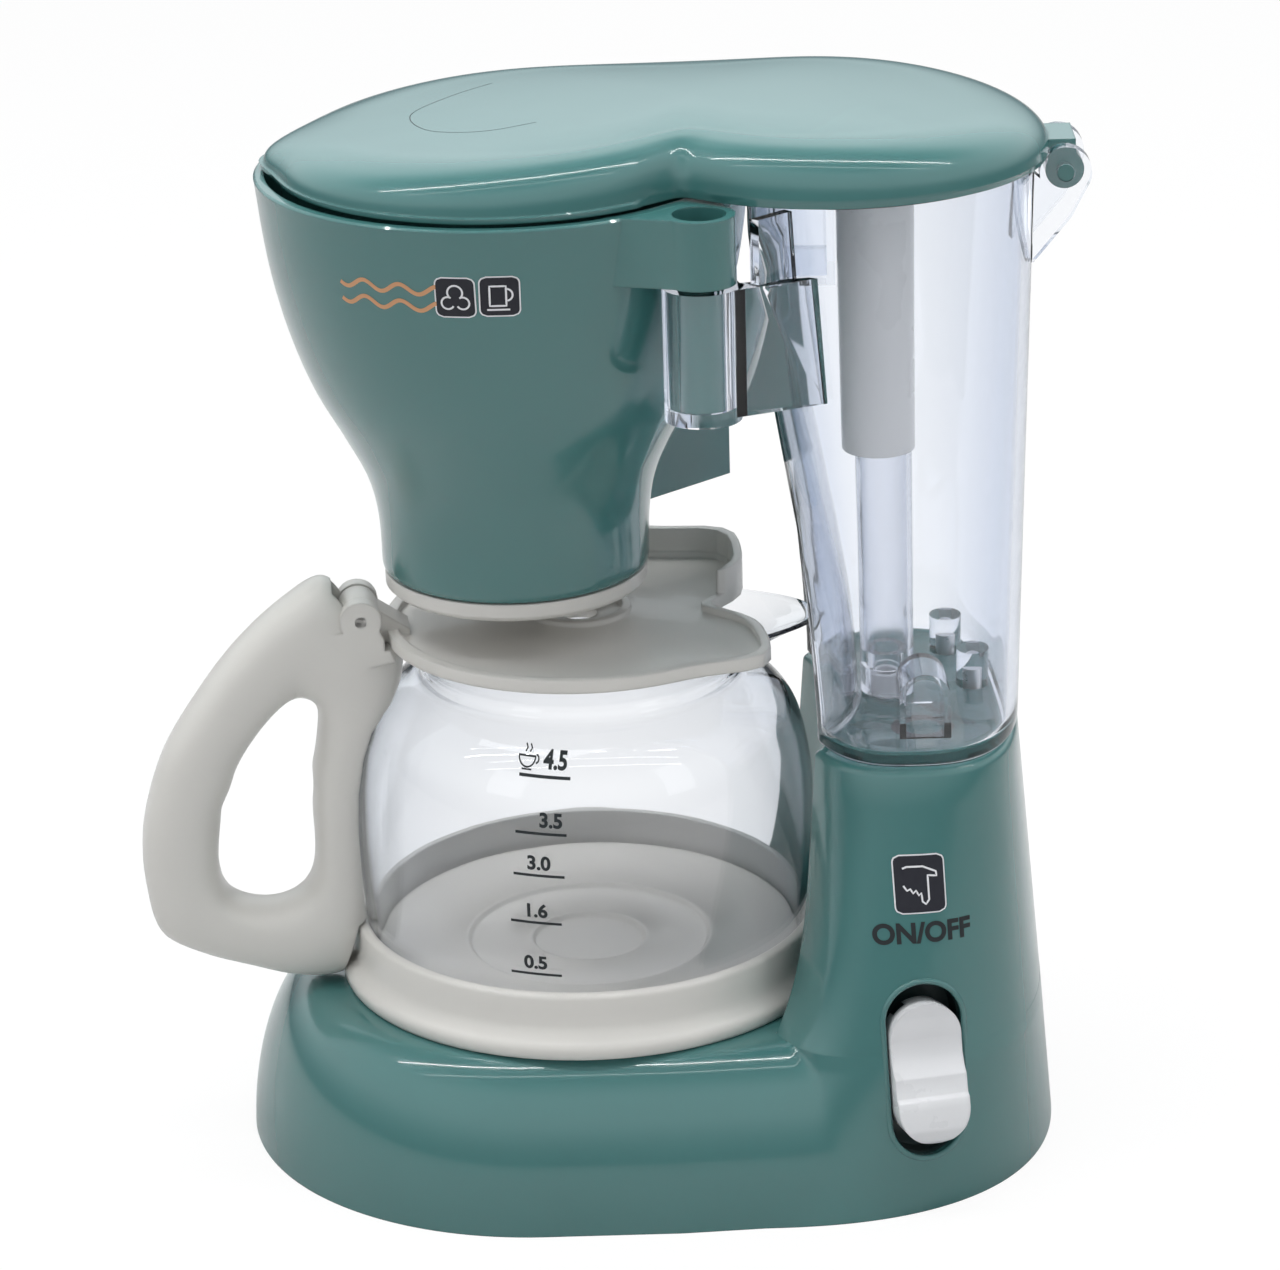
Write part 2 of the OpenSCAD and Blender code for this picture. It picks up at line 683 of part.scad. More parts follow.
// The outline drawn in, and the rounder the further in, so that the waist flattens out
function lid_reach(inset, t) =
    let (w = waist_spread * inset)
    (lid_outline(turned(t - w)) + 2 * lid_outline(turned(t)) + lid_outline(turned(t + w))) / 4
    - inset_gain * inset;

// The top falls away from its highest line towards both ends
function lid_droop(x) =
    (x < lid_high_x ? 4 : 9) * pow((x - lid_high_x) / 86, 2);

function lip_share(t) = t > 110 || t < -105 ? 1 : 0;

function lid_ring(z, inset, droop, lip, share = 1) =
    [for (k = [0:ring_n - 1])
        let (t = -178 + 360 * k / ring_n, r = share * (lid_reach(inset, t) + lip * lip_share(t)),
             x = lid_at[0] + r * cos(t))
        [x, lid_at[1] + r * sin(t), z + crown * (1 - share * share) - droop * lid_droop(x)]];

// Rings of the lid from its lip over the rounded side to the middle of the top
function lid_rings(inset, low, top) =
    let (h = top - low)
    [lid_ring(low, inset + 0.3, 0, lip_run), lid_ring(low + 0.9, inset + 0.1, 0, lip_run),
     lid_ring(low + 1.2, inset, 0.1, 0), lid_ring(low + 0.4 * h, inset + 0.5, 0.4, 0),
     lid_ring(low + 0.64 * h, inset + 1.5, 0.7, 0), lid_ring(low + 0.82 * h, inset + 3.2, 0.9, 0),
     lid_ring(low + 0.94 * h, inset + 6, 1, 0),
     for (share = [1, 0.75, 0.5, 0.25]) lid_ring(top, inset + lid_edge, 1, 0, share)];

barrel_half = ear_in - 0.4;
bridge_x = min(lid_right_at[0] + lid_right_r - 0.9, lid_axis_x - 3);

module top_lid() {
    color(green)
    difference() {
        union() {
            difference() {
                loft(concat(back(lid_rings(lid_wall, lid_z, lid_z + lid_h - lid_wall)),
                            lid_rings(0, lid_z, lid_z + lid_h)));
                for (s = [-1, 1])
                    translate([lid_axis_x, s * (ear_in + ear_t / 2) + ear_t / 2 + 0.5, lid_axis_z])
                    rotate([90, 0, 0]) cylinder(r = ear_r + move_gap, h = ear_t + 1);
            }
            translate([lid_axis_x, barrel_half, lid_axis_z]) rotate([90, 0, 0])
                cylinder(r = 3.4, h = 2 * barrel_half);
            translate([bridge_x, -barrel_half, lid_axis_z])
                cube([lid_axis_x + 2 - bridge_x, 2 * barrel_half, 5.2]);
        }
        translate([lid_axis_x, 20, lid_axis_z]) rotate([90, 0, 0]) cylinder(r = lid_pin_r + 0.02, h = 40);
    }
}

module lid_hinge_pin() {
    color(green)
    translate([lid_axis_x, ear_in + ear_t, lid_axis_z]) rotate([90, 0, 0])
        cylinder(r = lid_pin_r, h = 2 * (ear_in + ear_t));
}

// ---- brew basket ----

jug_z = base_h;
lid_low = glass_h + 0.3;
cone_top = 3.8;
jug_lid_top = jug_z + lid_low + cone_top;

basket_top = lid_z - 0.6;
outlet_h = 3.3;
basket_z = jug_lid_top + outlet_gap + outlet_h;
basket_h = basket_top - basket_z;
stem_r = basket_foot_r - basket_wall - 0.2;

// Half profile of the basket as pairs of radius and height above its foot
basket_side = [[24.2, 1.6], [24.4, 9], [25.2, 14.5], [26.7, 19.3], [30, 26], [35, 35.4],
               [38.7, 45.4], [41.2, 55.3], [42.5, 63.2], [43.3, 70.5]];

function basket_line(inset) =
    [for (p = basket_side) let (k = p[1] / 70.5)
        [p[0] + (1 - k) * (basket_foot_r - 24.2) + k * (basket_r - 43.8) - inset,
         p[1] * basket_h / 74.2]];

module basket_outer() {
    rotate_extrude() polygon(concat([[0, 0], [basket_foot_r - 1.4, 0]], basket_line(0),
                                    [[basket_r, basket_h], [0, basket_h]]));
}

module basket_inner() {
    rotate_extrude() polygon(concat([[0, -1], [stem_r, -1], [stem_r, 6]],
                                    [for (p = basket_line(basket_wall)) if (p[1] > 8) p],
                                    [[basket_r - basket_wall, basket_h + 1], [0, basket_h + 1]]));
}

arm_h = 12;
reach = norm([hinge_x - basket_x, hinge_y]);
arm_angle = atan2(hinge_y, hinge_x - basket_x);
latch_t = 3;

module brew_basket() {
    color(green)
    translate([basket_x, 0, basket_z]) difference() {
        union() {
            difference() {
                basket_outer();
                basket_inner();
            }
            difference() {
                union() {
                    rotate(arm_angle) {
                        translate([reach, 0, basket_h - arm_h]) cylinder(r = barrel_r, h = arm_h);
                        translate([0, 0, basket_h - arm_h]) linear_extrude(arm_h)
                            polygon([[reach, -barrel_r], [reach, barrel_r], [basket_r - 5, 13],
                                     [basket_r - 5, -13]]);
                        translate([reach, 0, socket_low + 2.2 - basket_z])
                            cylinder(r = pivot_r, h = basket_h - arm_h - socket_low - 2 + basket_z);
                    }
                    rotate(-arm_angle - 5) translate([stem_r + 1, -latch_t / 2, 4])
                        cube([52 - stem_r, latch_t, basket_h - 6]);
                }
                translate([0, 0, 5]) cylinder(r = stem_r, h = 10);
                basket_inner();
            }
        }
        rotate(arm_angle) translate([reach, 0, basket_h - 9]) cylinder(r = barrel_r - 1.6, h = 20);
    }
}

module filter_funnel() {
    color(cream)
    translate([basket_x, 0, basket_z]) rotate_extrude()
        polygon([[4, -outlet_h], [basket_foot_r - 1.2, -outlet_h], [basket_foot_r - 0.4, -outlet_h + 0.8],
                 [basket_foot_r - 0.4, 0],
                 [stem_r - 0.1, 0], [stem_r - 0.1, 7], [stem_r - 1.6, 7], [stem_r - 1.8, 1.5],
                 [4, -1.4]]);
}

// ---- jug ----

// Places its children on the jug axis with +X towards the handle
module on_jug() {
    translate([jug_x, 0, jug_z]) rotate(180 + jug_turn) children();
}

// Half profile of the glass up to its neck, as pairs of radius, as a share of the largest, and height
glass_side = [[0.968, 4], [0.975, 12], [0.99, 19], [1, 30], [0.992, 38], [0.965, 45], [0.925, 50],
              [0.86, 53.6], [0.775, 56.3], [0.7, 58.4]];
neck_z = 58.4;
neck_side = [[0, 0.7], [0.3, 0.682], [0.55, 0.69], [1, 0.72]];
beak_reach = 13.5;
beak_width = 21;

function glass_line(inset) = [for (p = glass_side) [p[0] * glass_r - inset, p[1]]];

// Outline of the mouth at a share of its height, with the pouring beak away from the handle
function mouth_ring(share, inset, z) =
    [for (k = [0:ring_n - 1])
        let (t = 360 * (k + 0.5) / ring_n - 180, r = glass_r * lookup(share, neck_side) - inset,
             w = r + beak_reach * pow(share, 1.3) * exp(-pow((180 - abs(t)) / beak_width, 2)))
        [w * cos(t), w * sin(t), z]];

function round_ring(r, z) =
    [for (k = [0:ring_n - 1]) let (t = 360 * (k + 0.5) / ring_n - 180) [r * cos(t), r * sin(t), z]];

function glass_rings(inset) = concat(
    [for (p = glass_line(inset)) if (p[1] < neck_z) round_ring(p[0], p[1])],
    [for (u = [0, 0.15, 0.3, 0.5, 0.75, 1]) mouth_ring(u, inset, neck_z + u * (glass_h - neck_z))]);

module carafe_glass() {
    color(clear) on_jug() loop_loft(concat(glass_rings(0), back(glass_rings(glass_wall))));
}

module carafe_foot_ring() {
    color(cream)
    on_jug() rotate_extrude() polygon([
        [0, 1.6], [38, 1.6], [38, 0.6], [40, 0], [foot_r - 0.8, 0], [foot_r, 0.8], [foot_r, 2.4],
        [foot_r - 1, 3.4],
        [glass_r + 0.9, foot_h - 0.8], [glass_r + 0.5, foot_h], [0.975 * glass_r + fit_gap, foot_h],
        [0.968 * glass_r + fit_gap, 4 - fit_gap], [glass_r * 0.968 - glass_wall - fit_gap, 4 - fit_gap],
        [glass_r * 0.968 - glass_wall - fit_gap, 6], [36, 5], [24, 4.4], [23.4, 5], [22.6, 5], [22, 4.2],
        [12, 3.8], [11.4, 4.4],
        [10.6, 4.4], [10, 3.6], [0, 3.6]]);
}

// Loop of the handle about its middle: angle, distance to the finger hole, distance to the outside
handle_mid = [58, 36];
handle_loop = [[0, 8.7, 22.6], [28, 7.8, 21.7], [52, 9.3, 23.2], [80, 13, 30.5], [97, 18, 39.2],
               [106, 21, 44.3], [117, 21, 39.6],
               [128, 15, 39.4], [136, 12, 35.6], [144, 10, 27.5], [167, 8.4, 19], [195, 8, 18.1],
               [234, 13.5, 28.6], [249, 17.8, 36.6],
               [264, 19.8, 34.8], [279, 20.3, 32.3], [296, 19.4, 32], [311, 15.2, 32.4],
               [326, 11.6, 28.2], [342, 9.6, 25], [360, 8.7, 22.6]];
handle_n = 60;
handle_square = 2.6;

module handle_ring() {
    loop_loft([for (i = [0:handle_n - 1])
        let (t = 360 * i / handle_n,
             near = lookup(t, [for (p = handle_loop) [p[0], p[1]]]),
             far = lookup(t, [for (p = handle_loop) [p[0], p[2]]]),
             m = (near + far) / 2, w = (far - near) / 2)
        [for (j = [0:13])
         let (q = oval(w, handle_half, handle_square, 360 * (j + 0.5) / 14), r = m + q[0])
            [handle_mid[0] + r * cos(t), q[1], handle_mid[1] + r * sin(t)]]]);
}

jug_pin_x = 40;
jug_pin_z = glass_h + 5.6;
knuckle_r = 3.8;
knuckle_half = 3.4;
jug_pin_r = 1.1;

module carafe_handle() {
    color(cream)
    on_jug() difference() {
        union() {
            handle_ring();
            for (s = [-1, 1]) translate([0, s * (knuckle_half + 1.8) + 1.4, 0]) rotate([90, 0, 0])
                linear_extrude(2.8) {
                translate([jug_pin_x, jug_pin_z]) circle(r = knuckle_r);
                polygon([[jug_pin_x - 3, jug_pin_z], [jug_pin_x - 6, jug_pin_z - 8],
                         [jug_pin_x + 6, jug_pin_z - 10], [jug_pin_x + 8, jug_pin_z - 2]]);
            }
        }
        rotate_extrude() polygon(concat([[0, 0], [foot_r + fit_gap, 0], [foot_r + fit_gap, 2.8],
                                         [glass_r + 1.1, foot_h + fit_gap]],
                                        [for (p = glass_line(-2 * fit_gap)) if (p[1] > foot_h) p],
                                        [[0.7 * glass_r, glass_h], [0, glass_h]]));
        translate([jug_pin_x, 20, jug_pin_z]) rotate([90, 0, 0]) cylinder(r = jug_pin_r + 0.02, h = 40);
        translate([jug_pin_x - 20, -knuckle_half - 0.4, glass_h - 0.1])
            cube([24.8, 2 * knuckle_half + 0.8, 26]);
        translate([-1, -20, glass_h - 0.1]) cube([jug_lid_r + 1 + move_gap, 40, 4]);
    }
}

horn_reach = 5.7;
notch_depth = 11;

function jug_lid_reach(t) =
    let (a = 180 - abs(t))
    jug_lid_r + horn_reach * exp(-pow((a - 42) / 12, 2)) - notch_depth * exp(-pow(a / 15, 2));

function jug_lid_outline(inset) =
    [for (k = [0:ring_n - 1])
     let (t = -180 + 360 * (k + 0.5) / ring_n, r = jug_lid_reach(t) - inset) [r * cos(t), r * sin(t)]];

module carafe_lid() {
    color(cream)
    on_jug() difference() {
        union() {
            difference() {
                translate([0, 0, lid_low]) linear_extrude(2.4) polygon(jug_lid_outline(0));
                translate([0, 0, lid_low + 1.2]) linear_extrude(4) polygon(jug_lid_outline(2));
            }
            translate([0, 0, lid_low]) rotate_extrude()
                polygon([[3.4, 1], [22, 1], [9.6, cone_top - 1], [9.6, cone_top], [8, cone_top],
                         [7.6, 2.9], [3.4, 2.2]]);
            translate([0, 0, lid_low]) linear_extrude(7) intersection() {
                difference() {
                    polygon(jug_lid_outline(0));
                    polygon(jug_lid_outline(1.8));
                }
                polygon([[0, 0], [-46, -8], [-46, -46], [8, -46]]);
            }
            translate([0, 0, lid_low - 3]) difference() {
                cylinder(r = 0.682 * glass_r - glass_wall - 1, h = 3.5);
                translate([0, 0, -1]) cylinder(r = 0.682 * glass_r - glass_wall - 2.4, h = 4.2);
            }
            translate([jug_pin_x, knuckle_half, jug_pin_z]) rotate([90, 0, 0])
                linear_extrude(2 * knuckle_half) {
                circle(r = knuckle_r - 0.2);
                polygon([[0, knuckle_r - 0.4], [-9, 0.4 - jug_pin_z + lid_low + 2],
                         [-9, lid_low - jug_pin_z], [-4.5, lid_low - jug_pin_z], [-2, -3]]);
            }
        }
        translate([jug_pin_x, 20, jug_pin_z]) rotate([90, 0, 0])
            cylinder(r = jug_pin_r + pin_gap, h = 40);
        translate([0, 0, lid_low - 5]) cylinder(r = 3.4, h = 20);
    }
}

module carafe_lid_pin() {
    color(steel)
    on_jug() translate([jug_pin_x, knuckle_half + 3.2, jug_pin_z]) rotate([90, 0, 0])
        cylinder(r = jug_pin_r, h = 2 * (knuckle_half + 3.2));
}

base_shell();
base_plate();
battery_door();
base_screws();
door_screw();
batteries();
battery_contacts();
power_switch();
rocker_button();
rocker_pin();
motor();
pump_housing();
pump_screws();
pump_impeller();
pump_gasket();
red_wire();
black_wire();
water_tank();
tank_screws();
intake_cover();
riser_tube();
spout_sleeve();
top_lid();
lid_hinge_pin();
brew_basket();
filter_funnel();
carafe_glass();
carafe_foot_ring();
carafe_handle();
carafe_lid();
carafe_lid_pin();
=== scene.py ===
"""Looks of the toy coffee maker: smooth shells, plastics, labels, light and camera."""

import math

import bpy
import numpy as np
from mathutils import Matrix, Vector
from mathutils.bvhtree import BVHTree


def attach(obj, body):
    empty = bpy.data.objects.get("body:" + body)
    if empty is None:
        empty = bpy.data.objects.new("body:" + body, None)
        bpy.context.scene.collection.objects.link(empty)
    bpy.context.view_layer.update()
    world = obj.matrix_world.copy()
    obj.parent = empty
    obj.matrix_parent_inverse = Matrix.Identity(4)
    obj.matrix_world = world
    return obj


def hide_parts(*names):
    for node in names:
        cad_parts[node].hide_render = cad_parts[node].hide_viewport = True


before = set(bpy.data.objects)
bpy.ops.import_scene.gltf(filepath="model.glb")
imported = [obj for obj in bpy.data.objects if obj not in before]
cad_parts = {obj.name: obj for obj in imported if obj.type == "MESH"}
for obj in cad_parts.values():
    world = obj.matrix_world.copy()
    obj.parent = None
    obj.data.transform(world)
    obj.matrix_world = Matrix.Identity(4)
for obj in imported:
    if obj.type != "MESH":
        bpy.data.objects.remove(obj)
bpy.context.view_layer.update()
MM = 0.001

# ---- sizes of the model: lengths in millimetres, angles in degrees ----

BASE_LEN, BASE_DEPTH, BASE_H, BASE_ROUND = 150.0, 110.0, 30.0, 14.0
BASE_END = BASE_DEPTH / 2
BASE_MID = BASE_LEN / 2 - BASE_END
DOME_BEND, DOME_SQUARE = 1.7, 2.2
TOWER_H, TOWER_SLOPE, SHELL_WALL = 80.0, 0.24, 2.2
TANK_HALF, TANK_H, TANK_WALL = 34.8, 103.0, 1.8
TANK_TOP = TOWER_H + TANK_H
SEAT_MID, SEAT_RIGHT, SEAT_SQUARE, END_SQUARE = 48.0, 68.4, 2.7, 2.4
TUCK, TUCK_FROM, TUCK_RUN = 2.4, 5, 35
WAIST_Z, WAIST_MID, TOWER_LEFT, FLARE = 27, 37, 27.2, 9
HOLLOW_R, HOLLOW_X, LIP = 48.0, 37.0, 0.8
SWITCH_X, SWITCH_Z, WELL_W, WELL_H = 49.2, 26.6, 14.4, 32.4
SWITCH_TILT = math.degrees(math.atan(0.7 * TOWER_SLOPE))
SWITCH_TURN = 13.0
SWITCH_Y = -0.975 * (TANK_HALF + TOWER_SLOPE * (TOWER_H - SWITCH_Z))
LID_Z, LID_H, LID_WALL = TANK_TOP + 0.8, 9.8, 1.8
LID_AT = np.array([11.6, 2.0])
LID_LEFT_AT, LID_RIGHT_AT = np.array([-21.6, -1.6]), np.array([36.4, -0.6])
LID_LEFT_R, LID_RIGHT_R, LID_EDGE, LID_HIGH_X, CROWN = 39.8, 38.1, 10.0, 26.0, 0.95
LIP_RUN, TAB_RUN, TAB_TURN, WAIST_SPREAD, INSET_GAIN = 0.8, 2.8, 6.0, 1.2, 1.1
LID_AXIS_X, LID_AXIS_Z, EAR_IN, EAR_T, EAR_R = 76.6, LID_Z - 2.8, 6.0, 3.0, 4.6
BASKET_X, BASKET_R, BASKET_FOOT_R, BASKET_H, BASKET_WALL = -22.0, 43.8, 24.2, 74.2, 2.0
BASKET_Z = LID_Z - 0.6 - BASKET_H
HINGE_X, HINGE_Y, BARREL_R, PIVOT_R, SOCKET_R = 12.0, -36.5, 6.2, 4.0, 6.7
SOCKET_LOW, SOCKET_TOP = 147.0, 170.6
JUG_X, JUG_TURN, GLASS_R, GLASS_H, GLASS_WALL = -11.0, 6.0, 42.3, 66.0, 1.6
FOOT_R, FOOT_H = 46.0, 11.6
HANDLE_HALF = 6.8
DECK_T, TANK_FLOOR_T = 2.2, 2.0
LID_PIN_R, LID_PIN_GAP, PIVOT_GAP = 1.5, 0.08, 0.1
TANK_BOSS_AT, TANK_BOSS_R, TANK_BOSS_H = ((58, 20), (62, 2)), 3.4, 9

# ---- camera ----

CAMERA_AT = Vector((0.19, -823.0, 403.6)) * MM
CAMERA_YAW, CAMERA_PITCH, CAMERA_ROLL = math.radians(-0.01), math.radians(20.63), math.radians(-1.61)
FOCAL_PX, IMAGE_W = 4817.6, 1280.0
SENSOR_MM = 36.0


def add_camera():
    """A long lens in front of the toy, a little above it and rolled slightly."""
    yaw, pitch, roll = CAMERA_YAW, CAMERA_PITCH, CAMERA_ROLL
    level = math.cos(pitch)
    forward = Vector((math.sin(yaw) * level, math.cos(yaw) * level, -math.sin(pitch)))
    right = Vector((math.cos(yaw), -math.sin(yaw), 0))
    up = right.cross(forward)
    side = right * math.cos(roll) + up * math.sin(roll)
    top = up * math.cos(roll) - right * math.sin(roll)
    data = bpy.data.cameras.new("camera")
    data.sensor_fit, data.sensor_width = "HORIZONTAL", SENSOR_MM
    data.lens = FOCAL_PX / IMAGE_W * SENSOR_MM
    data.clip_start, data.clip_end = 0.01, 20
    camera = bpy.data.objects.new("camera", data)
    axes = Matrix((side, top, -forward)).transposed().to_4x4()
    camera.matrix_world = Matrix.Translation(CAMERA_AT) @ axes
    bpy.context.collection.objects.link(camera)
    bpy.context.scene.camera = camera


# ---- mesh helpers, all in millimetres ----

SMOOTH_N, COPY_SHARP = 288, 32.0


def solid(name, points, faces, sharp=38.0):
    """A mesh object with smooth shading up to the given angle."""
    mesh = bpy.data.meshes.new(name)
    scaled = [tuple(p * MM for p in point) for point in np.asarray(points, float).tolist()]
    mesh.from_pydata(scaled, [], faces)
    mesh.validate()
    shade(mesh, sharp)
    piece = bpy.data.objects.new(name, mesh)
    bpy.context.collection.objects.link(piece)
    return piece


def shade(mesh, sharp=38.0):
    mesh.shade_smooth()
    mesh.set_sharp_from_angle(angle=math.radians(sharp))


def loft(name, rings, closed=False, sharp=38.0):
    """A closed skin over a stack of rings, capped at both ends or joined back to its start."""
    rings = np.asarray(rings, float)
    m, n = rings.shape[:2]
    steps = m if closed else m - 1
    faces = []
    for i in range(steps):
        low, high = i * n, (i + 1) % m * n
        faces += [(low + j, low + (j + 1) % n, high + (j + 1) % n, high + j) for j in range(n)]
    if not closed:
        faces.append(tuple(reversed(range(n))))
        faces.append(tuple((m - 1) * n + j for j in range(n)))
    return solid(name, rings.reshape(-1, 3), faces, sharp)


def smooth_rings(rings, steps, closed=False):
    """Extra rings on a curve that passes through the given ones."""
    p = np.asarray(rings, float)
    m = len(p)
    runs = [np.linalg.norm(p[(i + 1) % m] - p[i], axis=1).mean() for i in range(m)]
    gap = np.array([np.sqrt(run) + 1e-6 for run in runs])

    def slope(i):
        if not closed and i == 0:
            return (p[1] - p[0]) / gap[0]
        if not closed and i == m - 1:
            return (p[-1] - p[-2]) / gap[m - 2]
        before, after = gap[(i - 1) % m], gap[i % m]
        back, ahead = (p[i % m] - p[i - 1]) / before, (p[(i + 1) % m] - p[i % m]) / after
        return (ahead * before + back * after) / (before + after)

    out = []
    for i in range(m if closed else m - 1):
        a, b, h = p[i], p[(i + 1) % m], gap[i]
        sa, sb = slope(i), slope((i + 1) % m if closed else i + 1)
        for k in range(steps):
            t = k / steps
            out.append((2 * t**3 - 3 * t**2 + 1) * a + (t**3 - 2 * t**2 + t) * h * sa
                       + (3 * t**2 - 2 * t**3) * b + (t**3 - t**2) * h * sb)
    if not closed:
        out.append(p[-1])
    return out


def smooth_line(points, steps, closed=False):
    """A curve through the given points, as an array of points."""
    return np.array(smooth_rings([[p] for p in points], steps, closed))[:, 0]


def revolve(name, profile, n=192, sharp=38.0):
    """A closed profile of radius and height turned round the vertical axis."""
    turns = [2 * math.pi * k / n for k in range(n)]
    rings = [[(r * math.cos(a), r * math.sin(a), z) for a in turns] for r, z in profile]
    return loft(name, rings, closed=True, sharp=sharp)


def prism(name, outline, low, high, place=None):
    """A straight solid over an outline, from one height to another."""
    piece = loft(name, [[(x, y, low) for x, y in outline], [(x, y, high) for x, y in outline]])
    if place is not None:
        piece.data.transform(place)
    return piece


def circle(r, n=64, x=0.0, y=0.0):
    turns = [2 * math.pi * k / n for k in range(n)]
    return [(x + r * math.cos(a), y + r * math.sin(a)) for a in turns]


def stadium(w, h, n):
    """The outline of an upright slot with round ends."""
    half = (h - w) / 2
    points = circle(w / 2, n)
    return [(x, y + (half if k < n / 2 else -half)) for k, (x, y) in enumerate(points)]


def put(x, y, z):
    return Matrix.Translation(Vector((x, y, z)) * MM)


def turn(degrees, axis):
    return Matrix.Rotation(math.radians(degrees), 4, axis)


def combine(piece, tool, how):
    """Cuts the tool from the piece, or joins it, and removes the tool."""
    step = piece.modifiers.new("step", "BOOLEAN")
    step.operation, step.solver, step.object = how, "EXACT", tool
    graph = bpy.context.evaluated_depsgraph_get()
    mesh = bpy.data.meshes.new_from_object(piece.evaluated_get(graph))
    piece.modifiers.clear()
    old, piece.data = piece.data, mesh
    bpy.data.meshes.remove(old)
    bpy.data.objects.remove(tool)
    shade(piece.data)
    return piece


def cut(piece, tool):
    return combine(piece, tool, "DIFFERENCE")


def join(piece, tool):
    return combine(piece, tool, "UNION")


def copy_of(node, name, soft=0.0):
    """The solid of a node with its seams welded, so that it shades smoothly, and its edges softened."""
    piece = bpy.data.objects.new(name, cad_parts[node].data.copy())
    bpy.context.collection.objects.link(piece)
    weld = piece.modifiers.new("weld", "WELD")
    weld.merge_threshold = 0.000002
    if soft:
        bevel = piece.modifiers.new("bevel", "BEVEL")
        bevel.width, bevel.segments, bevel.limit_method = soft * MM, 3, "ANGLE"
        bevel.angle_limit = math.radians(20)
    graph = bpy.context.evaluated_depsgraph_get()
    mesh = bpy.data.meshes.new_from_object(piece.evaluated_get(graph))
    piece.modifiers.clear()
    piece.data = mesh
    if mesh.has_custom_normals:
        mesh.attributes.remove(mesh.attributes["custom_normal"])
    shade(mesh, COPY_SHARP)
    return piece


def finish_piece(piece, body, material, *nodes, slot=None):
    """Gives a piece its material and its body, and hides the nodes that it stands for."""
    piece.data.materials.clear()
    piece.data.materials.append(material)
    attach(piece, body)
    if nodes:
        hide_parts(*nodes)
    return piece


# ---- materials ----

MOULD_WAVES, WAVE_DEPTH = 0.03, 0.001
MOTTLE_SCALE, SMEAR_SCALE, WAVE_SCALE, CLEAR_SCALE = 38.0, 70.0, 160.0, 45.0
METAL_SCALE, INK_SCALE, PAPER_SCALE = 400.0, 900.0, 3.0


def shader(name):
    material = bpy.data.materials.new(name)
    material.use_nodes = True
    nodes = material.node_tree.nodes
    return material, nodes, material.node_tree.links, nodes["Principled BSDF"]


def fixed_noise(nodes, links, scale, detail=4.0):
    """A noise fixed to the object, in its own coordinates."""
    where = nodes.new("ShaderNodeTexCoord")
    noise = nodes.new("ShaderNodeTexNoise")
    noise.inputs["Scale"].default_value = scale
    noise.inputs["Detail"].default_value = detail
    links.new(where.outputs["Object"], noise.inputs["Vector"])
    return noise


def plastic(name, colour, rough=0.3, coat=0.25, mottle=0.04, edge=0.0005):
    """Moulded plastic: faint mottling, a slightly wavy gloss and softened edges."""
    material, nodes, links, bsdf = shader(name)
    mottling = fixed_noise(nodes, links, MOTTLE_SCALE)
    tint = nodes.new("ShaderNodeMix")
    tint.data_type = "RGBA"
    tint.inputs[6].default_value = (*[c * (1 - mottle) for c in colour], 1)
    tint.inputs[7].default_value = (*[min(c * (1 + mottle), 1) for c in colour], 1)
    links.new(mottling.outputs["Fac"], tint.inputs[0])
    links.new(tint.outputs[2], bsdf.inputs["Base Color"])
    smear = fixed_noise(nodes, links, SMEAR_SCALE, 6.0)
    spread = nodes.new("ShaderNodeMapRange")
    spread.inputs["To Min"].default_value = rough * 0.8
    spread.inputs["To Max"].default_value = rough * 1.25
    links.new(smear.outputs["Fac"], spread.inputs["Value"])
    links.new(spread.outputs["Result"], bsdf.inputs["Roughness"])
    waves = fixed_noise(nodes, links, WAVE_SCALE, 2.0)
    bump = nodes.new("ShaderNodeBump")
    bump.inputs["Strength"].default_value = MOULD_WAVES
    bump.inputs["Distance"].default_value = WAVE_DEPTH
    round_edges = nodes.new("ShaderNodeBevel")
    round_edges.samples = 4
    round_edges.inputs["Radius"].default_value = edge
    links.new(waves.outputs["Fac"], bump.inputs["Height"])
    links.new(round_edges.outputs["Normal"], bump.inputs["Normal"])
    links.new(bump.outputs["Normal"], bsdf.inputs["Normal"])
    bsdf.inputs["Coat Weight"].default_value = coat
    bsdf.inputs["Coat Roughness"].default_value = 0.03
    bsdf.inputs["IOR"].default_value = 1.5
    return material


